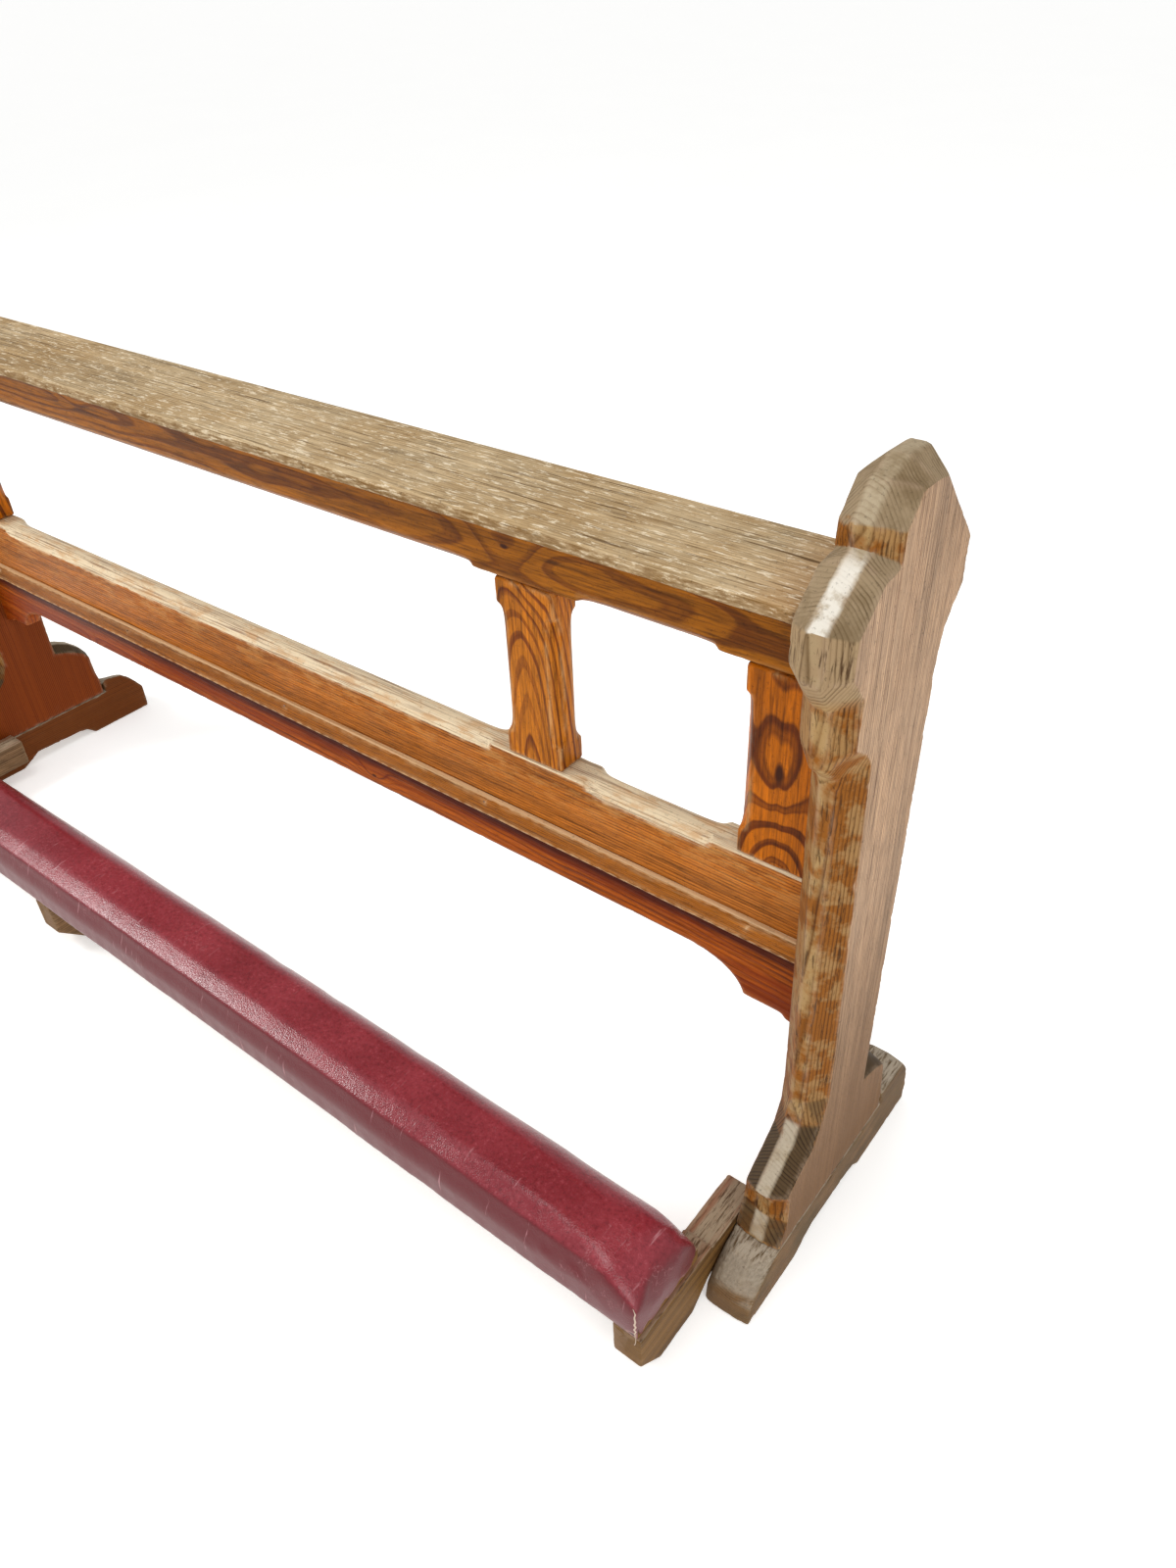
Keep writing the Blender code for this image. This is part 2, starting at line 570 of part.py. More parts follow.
def bracket_outline():
    """Return one bracket's outline from the end to where the apron runs straight."""
    points = [Vector(point) for point in BRACKET]
    middle = Vector((BRACKET_CURVE_START.x, BRACKET_CURVE_END.y))
    middle += BRACKET_CURVE_PULL
    for step in range(CURVE_STEPS + 1):
        t = step / CURVE_STEPS
        near = BRACKET_CURVE_START.lerp(middle, t)
        far = middle.lerp(BRACKET_CURVE_END, t)
        points.append(near.lerp(far, t))
    return points


def add_apron(shop):
    """Add the apron with its two brackets, and the moulding that covers its joint with the rail."""
    reach = INNER_X - GAP
    half = bracket_outline()
    right = [(reach - point.x, point.y) for point in half]
    left = [(-x, z) for x, z in reversed(right)]
    outline = left[::-1] + right[::-1]
    outline = [(-reach, LOWER_RAIL_BOTTOM - GAP)] + outline + [(reach, LOWER_RAIL_BOTTOM - GAP)]
    mesh = plate_mesh("apron", outline, 0.0, APRON_THICKNESS)
    mesh.transform(Matrix(((0, 1, 0, 0), (1, 0, 0, APRON_FRONT), (0, 0, 1, 0), (0, 0, 0, 1))))
    mesh.flip_normals()
    apron = shop.add_part("apron", mesh, "apron_pine")
    add_bevel(apron, EASE_FINE)
    join_end_tenons(shop, apron)
    back = RAIL_FRONT - GAP
    strip = box_mesh("moulding", (-reach, back - MOULDING_THICKNESS, MOULDING_BOTTOM),
                     (reach, back, MOULDING_TOP))
    moulding = shop.add_part("moulding", strip, "varnished_pine")
    add_bevel(moulding, EASE_MOULDING)
    add_moulding_pins(shop, moulding)


def add_moulding_pins(shop, moulding):
    """Pin the moulding to the lower rail."""
    rail = shop.parts.objects["lower_rail"]
    z = (max(MOULDING_BOTTOM, LOWER_RAIL_BOTTOM) + MOULDING_TOP) / 2
    front = RAIL_FRONT - GAP - MOULDING_THICKNESS
    length, radius = MOULDING_PIN_LENGTH, MOULDING_PIN_RADIUS
    for number, x in enumerate(MOULDING_PINS, 1):
        shop.add_part(f"moulding_pin_{number}", rod_mesh("pin", radius, length, (0, 1, 0)), "steel",
                      location=(x, front + GAP, z))
        shop.bore(moulding, (x, front - HOLE_OVERCUT, z), (0, 1, 0), radius + GAP, MOULDING_PIN_BORE)
        shop.bore(rail, (x, RAIL_FRONT - HOLE_OVERCUT, z), (0, 1, 0), radius + GAP,
                  length + HOLE_OVERCUT + 2 * GAP - MOULDING_THICKNESS)


def add_book_rest(shop):
    """Add the book rest on top of the upper rail, nailed down and dowelled to the ends."""
    reach = INNER_X - GAP
    bottom = REST_TOP - REST_THICKNESS
    outline = ((REST_FRONT, bottom + REST_UNDERCUT_HEIGHT), (REST_FRONT, REST_TOP - REST_NOSE),
               (REST_FRONT + REST_NOSE_EASE, REST_TOP - REST_NOSE_EASE), (REST_FRONT + REST_NOSE, REST_TOP),
               (RAIL_BACK - REST_BACK_EASE, REST_TOP), (RAIL_BACK, REST_TOP - REST_BACK_EASE),
               (RAIL_BACK, bottom), (REST_FRONT + REST_UNDERCUT_DEPTH, bottom))
    rest = shop.add_part("book_rest", plate_mesh("rest", outline, -reach, reach), "weathered_pine")
    add_bevel(rest, EASE_FINE)
    rail = shop.parts.objects["upper_rail"]
    for number, x in enumerate(REST_NAILS, 1):
        top = REST_TOP - GAP
        shop.add_part(f"rest_nail_{number}", rod_mesh("nail", NAIL_RADIUS, NAIL_LENGTH, (0, 0, -1)), "steel",
                      location=(x, RAIL_MIDDLE, top))
        shop.bore(rest, (x, RAIL_MIDDLE, REST_TOP + HOLE_OVERCUT), (0, 0, -1), NAIL_RADIUS + GAP,
                  NAIL_BORE_IN_REST)
        shop.bore(rail, (x, RAIL_MIDDLE, bottom + HOLE_OVERCUT), (0, 0, -1), NAIL_RADIUS + GAP,
                  NAIL_LENGTH - REST_THICKNESS + HOLE_OVERCUT + GAP)
    add_rest_dowels(shop, rest)


def add_rest_dowels(shop, rest):
    """Dowel the book rest to both ends."""
    z = REST_TOP - REST_THICKNESS / 2
    for side, hand in (("left", -1), ("right", 1)):
        start = (hand * (INNER_X - DOWEL_LENGTH / 2), DOWEL_Y, z)
        shop.add_part(f"rest_dowel_{side}", rod_mesh("dowel", DOWEL_RADIUS, DOWEL_LENGTH, (hand, 0, 0)),
                      "bearer_pine", location=start)
        shop.bore(rest, (hand * (INNER_X + FACE_OVERCUT), DOWEL_Y, z), (-hand, 0, 0), DOWEL_RADIUS + GAP,
                  DOWEL_LENGTH / 2 + FACE_OVERCUT + GAP)


def add_kneeler_bearers(shop):
    """Add the two pivoted arms, the middle bearer and the pivot pins."""
    outer = INNER_X - ARM_GAP
    inner = outer - ARM_THICKNESS
    bearers = []
    for side, hand in (("left", -1), ("right", 1)):
        low, high = sorted((hand * inner, hand * outer))
        arm = shop.add_part(f"kneeler_arm_{side}", plate_mesh("arm", BEARER_NOSE + ARM_TAIL, low, high),
                            "bearer_pine", on_kneeler=True)
        add_bevel(arm, EASE_END)
        start = (hand * (outer + FACE_OVERCUT), PIVOT_Y, PIVOT_Z)
        shop.bore(arm, start, (-hand, 0, 0), PIN_RADIUS + PIN_CLEARANCE, PIN_IN_ARM + FACE_OVERCUT + GAP,
                  ROUND_SIDES)
        pin_start = (hand * (outer - PIN_IN_ARM), PIVOT_Y, PIVOT_Z)
        pin_length = PIN_IN_ARM + ARM_GAP + PIN_IN_FOOT
        pin = rod_mesh("pivot", PIN_RADIUS, pin_length, (hand, 0, 0), ROUND_SIDES)
        shop.add_part(f"pivot_pin_{side}", pin, "steel", location=pin_start)
        bearers.append((f"arm_{side}", arm, (low + high) / 2))
    half = ARM_THICKNESS / 2
    bearer_mesh = plate_mesh("bearer", BEARER_NOSE[:-1] + BEARER_TAIL, BEARER_X - half, BEARER_X + half)
    middle = shop.add_part("kneeler_bearer_middle", bearer_mesh, "bearer_pine", on_kneeler=True)
    add_bevel(middle, EASE_END)
    bearers.append(("middle", middle, BEARER_X))
    return bearers


def add_kneeler_board(shop, bearers):
    """Add the kneeler board and screw it down to the arms and the bearer."""
    reach = INNER_X - PAD_END_GAP - PAD_SKIRT
    bottom = ARM_TOP + GAP
    top = bottom + BOARD_THICKNESS
    board_mesh = box_mesh("board", (-reach, BOARD_FRONT, bottom), (reach, BOARD_BACK, top))
    board = shop.add_part("kneeler_board", board_mesh, "bearer_pine", on_kneeler=True)
    add_bevel(board, EASE_FINE)
    for label, bearer, x in bearers:
        for number, y in enumerate(SCREW_ROWS, 1):
            head_top = top - GAP
            mesh = rod_mesh("screw", SCREW_SHANK, SCREW_LENGTH - SCREW_HEAD_DEPTH, (0, 0, -1),
                            head_radius=SCREW_HEAD, head_depth=SCREW_HEAD_DEPTH)
            shop.add_part(f"board_screw_{label}_{number}", mesh, "steel", on_kneeler=True,
                          location=(x, y, head_top))
            shop.bore(board, (x, y, top + HOLE_OVERCUT), (0, 0, -1), SCREW_HEAD + GAP,
                      HOLE_OVERCUT + SCREW_HEAD_DEPTH + 2 * GAP)
            shop.bore(board, (x, y, top), (0, 0, -1), SCREW_SHANK + GAP, BOARD_THICKNESS + FACE_OVERCUT)
            shop.bore(bearer, (x, y, ARM_TOP + HOLE_OVERCUT), (0, 0, -1), SCREW_SHANK + GAP,
                      SCREW_LENGTH - BOARD_THICKNESS + HOLE_OVERCUT)


def add_pad(shop):
    """Add the leatherette-covered padding, hollow underneath to take the board."""
    reach = INNER_X - PAD_END_GAP
    pad_mesh = plate_mesh("pad", PAD_SECTION, -reach, reach)
    pad = shop.add_part("kneeler_pad", pad_mesh, "leatherette", on_kneeler=True)
    soften = pad.modifiers.new("soft_edges", "BEVEL")
    soften.width = PAD_ROUNDING
    soften.segments = 3
    soften.limit_method = "ANGLE"
    soften.angle_limit = radians(60)
    inside = reach - PAD_SKIRT + GAP
    top = ARM_TOP + GAP + BOARD_THICKNESS + GAP
    shop.cut_box(pad, (-inside, BOARD_FRONT - GAP, PAD_HOLLOW_BOTTOM), (inside, BOARD_BACK + GAP, top))
    for polygon in pad.data.polygons:
        polygon.use_smooth = True


def build():
    """Build the whole bench."""
    shop = Workshop()
    add_ends(shop)
    add_rails(shop)
    add_uprights(shop)
    add_apron(shop)
    add_book_rest(shop)
    bearers = add_kneeler_bearers(shop)
    add_kneeler_board(shop, bearers)
    add_pad(shop)


build()
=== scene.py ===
"""Looks of the kneeling bench: worn pine surfaces, the leatherette pad, the floor, the light and the camera.

X runs along the bench, Y from the kneeler to the rear, Z up. Lengths are in metres.
"""
import math
from itertools import product
from types import SimpleNamespace

import bmesh
import bpy
import numpy as np
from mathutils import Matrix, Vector
from mathutils.bvhtree import BVHTree
from mathutils.kdtree import KDTree


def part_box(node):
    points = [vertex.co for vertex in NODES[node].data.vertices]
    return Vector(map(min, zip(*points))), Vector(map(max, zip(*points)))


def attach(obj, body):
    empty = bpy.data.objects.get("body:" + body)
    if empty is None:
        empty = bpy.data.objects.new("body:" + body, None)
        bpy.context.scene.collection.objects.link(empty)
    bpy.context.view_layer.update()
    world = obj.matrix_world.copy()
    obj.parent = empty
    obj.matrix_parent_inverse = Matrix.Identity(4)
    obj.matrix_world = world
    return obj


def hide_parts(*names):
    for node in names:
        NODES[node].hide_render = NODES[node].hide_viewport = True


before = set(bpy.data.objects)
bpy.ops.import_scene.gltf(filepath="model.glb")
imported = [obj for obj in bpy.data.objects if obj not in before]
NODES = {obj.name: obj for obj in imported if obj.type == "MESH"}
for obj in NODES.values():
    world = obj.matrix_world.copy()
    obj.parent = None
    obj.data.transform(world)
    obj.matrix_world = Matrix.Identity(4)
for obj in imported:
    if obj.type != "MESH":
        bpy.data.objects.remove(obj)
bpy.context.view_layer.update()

# Camera
CAMERA_PLACE = (1.1004, -0.6953, 1.19)
CAMERA_ANGLES = (53.1205, 1.8794, 37.8749)
CAMERA_LENS = 26.22
SENSOR = 36.0

# Carving of the wooden pieces
VOXEL = 0.0028
VOXEL_ENDS = 0.0022
KEEP_SHARE = 0.28
WEAR_REACH = 0.0045
WEAR_EVERYWHERE = 0.0003
UNEVENNESS = 0.00015
ARRIS_ANGLE = math.radians(18)
ARRIS_STEP = 0.003
SAME_POINT = 0.00002
SHARP_ANGLE = math.radians(22)

# Lofted strips: the book rest and the moulding
STRIP_STATIONS = 300
STRIP_FRONT = 0.012
CORNER_STEPS = 4
LONGEST_SIDE = 0.006

# Studio: each light's name, place, target, size and power
LIGHTS = (
    ("key", (-2.3, -1.5, 2.3), (0.1, 0.0, 0.3), 0.8, 44),
    ("fill", (2.6, -1.2, 1.8), (0.5, 0.0, 0.4), 1.6, 21),
    ("top", (0.3, -0.5, 3.0), (0.2, 0.0, 0.3), 1.4, 22),
)
FLOOR_REACH = 300.0
FLOOR_GLOW = 0.41
WORLD_STRENGTH = 0.60
WHITE = (1.0, 1.0, 1.0, 1.0)

# Pad: its section as shares of depth and height, from the front hem over the crown to the rear hem
PAD_SECTION = (
    (0.034, 0.000), (0.008, 0.160), (0.000, 0.600), (0.008, 0.840), (0.050, 0.950), (0.150, 0.992),
    (0.519, 1.000), (0.740, 0.965), (0.890, 0.800), (0.962, 0.515), (0.991, 0.205), (1.000, 0.000),
)
PAD_VOXEL = 0.006
PAD_SHRINK = 0.0025
PAD_END_HEIGHT = 0.665
PAD_END_RUN = 0.050
PAD_END_STATIONS = 10
PAD_STATIONS = 120
PAD_PRESSURE = 4.0
PAD_FRAMES = 20
PAD_CAP = 0.005
PAD_MARGIN = 0.0004
HEM_HEIGHT = 0.008
BOARD_CLEARANCE = 0.0004
BOARD_ROOM_BELOW = 0.02

# Tacks, the pulls above them and the folds of the pad
TACK_PITCH = 0.028
TACK_HEIGHT = 0.007
TACK_REACH = 0.0052
TACK_DEPTH = 0.0016
FRONT_ROW_REACH = 0.012
END_ROW_REACH = 0.010
PULL_HEIGHT = 0.045
PULL_DEPTH = 0.0009
FOLD_STRETCH = (1.0, 0.22, 0.22)
FOLD_DEPTH = 0.0014
SOFTNESS = 0.0007
UNDERSIDE = 0.002

# Open seam and its thread
SEAM_ROWS = 19
SEAM_START = 0.003
SEAM_PITCH = 0.0027
SEAM_SIDES = (-1.0, -0.35, 0.35, 1.0)
SEAM_THICKNESS = 0.0006
RAY_START = 0.03
THREAD_POINTS = 14
THREAD_RADIUS = 0.00035


def srgb(red, green, blue):
    """Return a linear colour from 8-bit display values."""
    values = [value / 255 for value in (red, green, blue)]
    linear = [value / 12.92 if value <= 0.04045 else ((value + 0.055) / 1.055) ** 2.4 for value in values]
    return (*linear, 1.0)


def wood(grain, early, late, bleached, ring, pith, tilt, wave, weather, wear, rough, bold=False):
    """Describe a finish: colours, ring width, pith beside the piece, lean and wave of the grain, ageing."""
    return {"grain": grain, "early": srgb(*early), "late": srgb(*late), "bleached": srgb(*bleached),
            "ring": ring, "pith": pith, "tilt": tilt, "wave": wave, "weather": weather, "wear": wear,
            "rough": rough, "bold": bold}


WOOD_SPECULAR = 0.08
LEATHER_SPECULAR = 0.45
PINE = {
    "rest": wood("X", (176, 150, 112), (126, 100, 64), (206, 186, 152),
                 0.0034, (1.2, 0.25), (0.006, 0.004), 0.006, 0.50, 0.35, 0.60),
    "rail": wood("X", (178, 102, 26), (100, 42, 4), (232, 214, 180),
                 0.0038, (0.25, 1.2), (0.006, 0.004), 0.006, 0.03, 0.75, 0.38),
    "upper": wood("X", (154, 90, 8), (104, 52, 4), (190, 150, 104),
                  0.0090, (0.035, 0.012), (0.030, 0.012), 0.040, 0.01, 0.45, 0.34, bold=True),
    "upright": wood("Z", (184, 106, 18), (110, 48, 3), (214, 176, 124),
                    0.0054, (0.004, 0.045), (0.020, 0.110), 0.012, 0.02, 0.60, 0.34, bold=True),
    "stile": wood("Z", (184, 98, 3), (88, 34, 1), (204, 166, 114),
                  0.0095, (0.000, 0.050), (0.020, 0.160), 0.030, 0.01, 0.55, 0.32, bold=True),
    "apron": wood("X", (160, 76, 8), (84, 26, 1), (196, 150, 104),
                  0.0060, (0.060, 0.050), (0.020, 0.016), 0.026, 0.02, 0.55, 0.34),
    "moulding": wood("X", (158, 90, 14), (88, 40, 3), (206, 170, 124),
                     0.0026, (0.30, 1.2), (0.002, 0.002), 0.004, 0.04, 0.60, 0.42),
    "end": wood("Z", (182, 148, 116), (124, 86, 60), (190, 164, 140),
                0.0030, (0.9, 4.0), (0.004, 0.012), 0.005, 0.30, 0.30, 0.56),
    "foot": wood("Y", (122, 88, 52), (74, 48, 22), (160, 142, 116),
                 0.0034, (0.4, 2.0), (0.010, 0.020), 0.008, 0.16, 0.35, 0.58),
    "bearer": wood("Y", (124, 92, 62), (76, 50, 28), (160, 138, 110),
                   0.0036, (0.4, 2.0), (0.010, 0.020), 0.008, 0.20, 0.35, 0.58),
}
AXES = {"X": "YZX", "Y": "XZY", "Z": "XYZ"}

# Knots by piece: place along X and Z from the piece's middle, and size
KNOTS = {
    "upper_rail": ((0.408, -0.012, 0.020), (-0.320, 0.010, 0.016)),
    "stile_right": ((-0.004, 0.004, 0.038),),
    "stile_left": ((-0.010, -0.050, 0.022),),
    "muntin": ((0.006, 0.150, 0.030),),
    "apron": ((0.150, 0.010, 0.016), (-0.480, -0.006, 0.014)),
}
KNOT_REACH = {"X": (0.5, 1.0), "Z": (1.0, 0.42)}
KNOT_EYE = srgb(58, 22, 4)

# Late wood across one ring, from its inside to its outside
FINE_RING = ((0.0, 0.10), (0.40, 0.04), (0.66, 0.40), (0.86, 1.0), (1.0, 0.12))
BOLD_RING = ((0.0, 0.0), (0.54, 0.08), (0.62, 0.90), (0.90, 1.0), (1.0, 0.0))

# Streaks along the grain: how fine across it and along it
GRAINS = {"fibre": (480.0, 9.0), "dash": (380.0, 44.0), "streak": (46.0, 2.2)}
END_GRAIN_QUIET = 0.8
MIDDLE_GREY = (0.5, 0.5, 0.5, 1.0)

# Darkest, middle and palest shade that each of them gives
STREAK_SHADES = (0.66, 1.0, 1.20)
FIBRE_SHADES = (0.50, 1.0, 1.16)
DASH_SHADES = (0.62, 1.0, 1.18)
SHADE_PLACES = (0.32, 0.50, 0.70)
SHADE_TOP = 1.25

# Early and late wood where a place differs from its piece's finish
REST_BROWN = (srgb(156, 122, 74), srgb(118, 84, 42))
# Pale moulding colours: worn wood, and on the top also painted light
MOULDING_WORN_AND_LIT = (srgb(216, 180, 138), srgb(170, 120, 74))
END_TAN = (srgb(166, 134, 88), srgb(108, 72, 34))
END_BROWN = (srgb(140, 84, 26), srgb(72, 38, 12))
END_OLIVE = (srgb(158, 136, 104), srgb(104, 82, 54))
END_PALE = (srgb(166, 150, 124), srgb(136, 118, 92))
END_DULL = (srgb(146, 126, 98), srgb(88, 70, 46))
END_DARK = (srgb(84, 66, 44), srgb(40, 28, 18))
END_LOW = (srgb(120, 84, 48), srgb(70, 44, 22))
END_INNER = (srgb(126, 54, 8), srgb(70, 22, 2))
FOOT_INNER = (srgb(108, 50, 4), srgb(66, 28, 2))

# Where on the bench a look starts and ends, as (place, share): heights, and places along X or across an end
REST_END = ((0.700, 0.0), (0.755, 0.45))
RAIL_WORN = ((0.420, 0.0), (0.462, 1.0))
# Heights of the painted shadow under the moulding's overhang, on the apron
APRON_PAINTED_SHADOW = ((0.355, 0.0), (0.366, 0.90))
OLIVE_BAND = ((0.728, 0.0), (0.745, 0.85), (0.806, 0.85), (0.815, 0.0))
WHITE_BAND = ((0.780, 0.0), (0.796, 1.0), (0.834, 1.0), (0.842, 0.0))
LOW_SLOPES = ((0.26, 1.0), (0.32, 0.0))
LOW_BOARD = ((0.10, 0.95), (0.28, 0.60), (0.50, 0.0))
END_CHAMFER = ((0.0096, 0.0), (0.0112, 1.0))
PAD_DUST = ((0.086, 0.45), (0.102, 0.0))


class Graph:
    """Writes a material's nodes in short calls."""

    def __init__(self, name):
        self.material = bpy.data.materials.new(name)
        self.material.use_nodes = True
        self.tree = self.material.node_tree
        self.shader = self.tree.nodes["Principled BSDF"]
        coordinates = self.tree.nodes.new("ShaderNodeTexCoord")
        self.here = coordinates.outputs["Object"]
        self.normal = coordinates.outputs["Normal"]

    def feed(self, socket, value):
        """Link a socket to another, or set it."""
        if isinstance(value, bpy.types.NodeSocket):
            self.tree.links.new(value, socket)
        elif value is not None:
            socket.default_value = value

    def math(self, operation, a, b=None, c=None, clamp=False):
        node = self.tree.nodes.new("ShaderNodeMath")
        node.operation = operation
        node.use_clamp = clamp
        for socket, value in zip(node.inputs, (a, b, c)):
            self.feed(socket, value)
        return node.outputs[0]

    def plus(self, a, b):
        return self.math("ADD", a, b)

    def minus(self, a, b, clamp=False):
        return self.math("SUBTRACT", a, b, clamp=clamp)

    def times(self, a, b, clamp=False):
        return self.math("MULTIPLY", a, b, clamp=clamp)

    def times_plus(self, a, b, c, clamp=False):
        return self.math("MULTIPLY_ADD", a, b, c, clamp)

    def squares(self, a, b):
        """Return the sum of two squares."""
        return self.plus(self.math("POWER", a, 2.0), self.math("POWER", b, 2.0))

    def split(self, vector):
        node = self.tree.nodes.new("ShaderNodeSeparateXYZ")
        self.feed(node.inputs[0], vector)
        return dict(zip("XYZ", node.outputs))

    def join(self, x, y, z):
        node = self.tree.nodes.new("ShaderNodeCombineXYZ")
        for socket, value in zip(node.inputs, (x, y, z)):
            self.feed(socket, value)
        return node.outputs[0]

    def noise(self, vector, scale=1.0, detail=3.0, roughness=0.55):
        node = self.tree.nodes.new("ShaderNodeTexNoise")
        self.feed(node.inputs["Vector"], vector)
        self.feed(node.inputs["Scale"], scale)
        self.feed(node.inputs["Detail"], detail)
        self.feed(node.inputs["Roughness"], roughness)
        return node.outputs["Fac"]

    def ramp(self, value, *stops):
        """Map a value through (position, grey) stops."""
        node = self.tree.nodes.new("ShaderNodeValToRGB")
        self.feed(node.inputs[0], value)
        elements = node.color_ramp.elements
        while len(elements) < len(stops):
            elements.new(0.5)
        for element, (position, grey) in zip(elements, stops):
            element.position = position
            element.color = (grey, grey, grey, 1.0)
        return node.outputs[0]

    def mix(self, factor, a, b, blend="MIX"):
        node = self.tree.nodes.new("ShaderNodeMix")
        node.data_type = "RGBA"
        node.blend_type = blend
        self.feed(node.inputs[0], factor)
        self.feed(node.inputs[6], a)
        self.feed(node.inputs[7], b)
        return node.outputs[2]

    def attribute(self, name):
        node = self.tree.nodes.new("ShaderNodeAttribute")
        node.attribute_name = name
        return node.outputs["Fac"]

    def pebble(self, scale):
        """Return the distance from the middle of the nearest cell."""
        node = self.tree.nodes.new("ShaderNodeTexVoronoi")
        node.inputs["Scale"].default_value = scale
        self.feed(node.inputs["Vector"], self.here)
        return node.outputs["Distance"]

    def bump(self, height, distance, strength, before=None):
        node = self.tree.nodes.new("ShaderNodeBump")
        node.inputs["Strength"].default_value = strength
        node.inputs["Distance"].default_value = distance
        self.feed(node.inputs["Height"], height)
        self.feed(node.inputs["Normal"], before)
        return node.outputs[0]

    def finish(self, colour, roughness, normal):
        self.feed(self.shader.inputs["Base Color"], colour)
        self.feed(self.shader.inputs["Roughness"], roughness)
        self.feed(self.shader.inputs["Normal"], normal)
        return self.material


def stretched(graph, place, grain, cross, length):
    """Return coordinates scaled by one factor across the grain and another along it."""
    factors = {letter: length if letter == grain else cross for letter in "XYZ"}
    return graph.join(*(graph.times(place[letter], factors[letter]) for letter in "XYZ"))


def ring_radius(graph, local, spec):
    """Return the distance from a pith line that leans and wanders, made uneven along the grain."""
    across, through, along = (local[letter] for letter in AXES[spec["grain"]])
    wander = graph.minus(graph.noise(graph.join(0.0, 0.0, along), 2.6, 2.0), 0.5)
    first = graph.times_plus(along, spec["tilt"][0], graph.plus(across, spec["pith"][0]))
    first = graph.times_plus(wander, spec["wave"], first)
    second = graph.times_plus(along, spec["tilt"][1], graph.plus(through, spec["pith"][1]))
    radius = graph.math("SQRT", graph.squares(first, second))
    slow = graph.noise(stretched(graph, local, spec["grain"], 9.0, 1.8), 1.0, 3.0)
    radius = graph.times_plus(slow, spec["wave"], radius)
    quick = graph.noise(stretched(graph, local, spec["grain"], 60.0, 6.0), 1.0, 2.0)
    return graph.times_plus(quick, 0.0018, radius)


def growth_rings(graph, local, spec, knots):
    """Return late wood and knot eyes: rings about the pith line, lifted round each knot."""
    radius = ring_radius(graph, local, spec)
    eyes = 0.0
    for x, z, size in knots:
        wide, tall = KNOT_REACH[spec["grain"]]
        aside = graph.times(graph.minus(local["X"], x), wide / size)
        above = graph.times(graph.minus(local["Z"], z), tall / size)
        square = graph.squares(aside, above)
        lump = graph.math("EXPONENT", graph.times(square, -1.0))
        radius = graph.times_plus(lump, size * 0.9, radius)
        eyes = graph.plus(eyes, graph.ramp(square, (0.006, 1.0), (0.024, 0.0)))
    phase = graph.math("FRACT", graph.math("DIVIDE", radius, spec["ring"]))
    late = graph.ramp(phase, *(BOLD_RING if spec["bold"] else FINE_RING))
    ring_of = graph.join(graph.times(radius, 210.0), graph.times(local[spec["grain"]], 1.5), 0.0)
    each = graph.ramp(graph.noise(ring_of, 1.0, 1.0), (0.34, 0.35), (0.58, 1.0))
    return graph.times(late, each), eyes


def wood_face(graph, spec, piece):
    """Return what the colours are made from: place, facing, rings, knot eyes, streaks and bleached wood."""
    place = graph.split(graph.here)
    facing = graph.split(graph.normal)
    low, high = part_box(piece)
    local = {letter: graph.minus(place[letter], (low[i] + high[i]) / 2) for i, letter in enumerate("XYZ")}
    late, eyes = growth_rings(graph, local, spec, KNOTS.get(piece, ()))
    end_grain = graph.ramp(graph.math("ABSOLUTE", facing[spec["grain"]]), (0.20, 0.0), (0.50, 1.0))
    noises = {}
    for key, (cross, length) in GRAINS.items():
        noise = graph.noise(stretched(graph, local, spec["grain"], cross, length), 1.0, 4.0, 0.62)
        noises[key] = graph.mix(graph.times(end_grain, END_GRAIN_QUIET), noise, MIDDLE_GREY)
    dark_fibres = graph.ramp(noises["fibre"], (0.34, 0.75), (0.52, 0.0))
    grey = graph.mix(dark_fibres, spec["bleached"], spec["late"])
    ragged = graph.noise(stretched(graph, local, spec["grain"], 90.0, 26.0), 1.0, 4.0, 0.7)
    return SimpleNamespace(place=place, facing=facing, across=local["X"], late=late, eyes=eyes,
                           grey=grey, ragged=ragged, **noises)


def shaded(graph, colour, noise, shades):
    """Darken and lighten a colour along a streaky noise."""
    stops = [(position, shade / SHADE_TOP) for position, shade in zip(SHADE_PLACES, shades)]
    shade = graph.mix(1.0, graph.ramp(noise, *stops), (SHADE_TOP, SHADE_TOP, SHADE_TOP, 1.0), "MULTIPLY")
    return graph.mix(1.0, colour, shade, "MULTIPLY")


def inward(graph, face):
    """Return how far a face looks towards the bench's middle."""
    return graph.times(graph.times(face.facing["X"], graph.math("SIGN", face.place["X"])), -1.0)


def rest_colours(graph, colour, face):
    """The book rest: cream flecks, fine cracks, browner patches, and darker brown patches on the faces
    turned to the front.
    """
    brown = graph.ramp(graph.noise(graph.here, 5.0, 5.0, 0.7), (0.44, 0.0), (0.60, 0.55))
    colour = graph.mix(brown, colour, graph.mix(face.late, *REST_BROWN))
    colour = graph.mix(graph.ramp(face.place["X"], *REST_END), colour, srgb(160, 112, 56))
    flecks = graph.noise(stretched(graph, face.place, "X", 290.0, 62.0), 1.0, 4.0, 0.7)
    colour = graph.mix(graph.ramp(flecks, (0.56, 0.0), (0.63, 0.8)), colour, srgb(226, 210, 182))
    cracks = graph.noise(stretched(graph, face.place, "X", 300.0, 10.0), 1.0, 3.0, 0.6)
    colour = graph.mix(graph.ramp(cracks, (0.32, 0.90), (0.40, 0.0)), colour, srgb(88, 64, 34))
    front_patches = graph.ramp(flecks, (0.42, 0.90), (0.58, 0.20))
    front = graph.times(graph.math("LESS_THAN", face.facing["Y"], -0.60), front_patches)
    return graph.mix(front, colour, srgb(112, 80, 40))


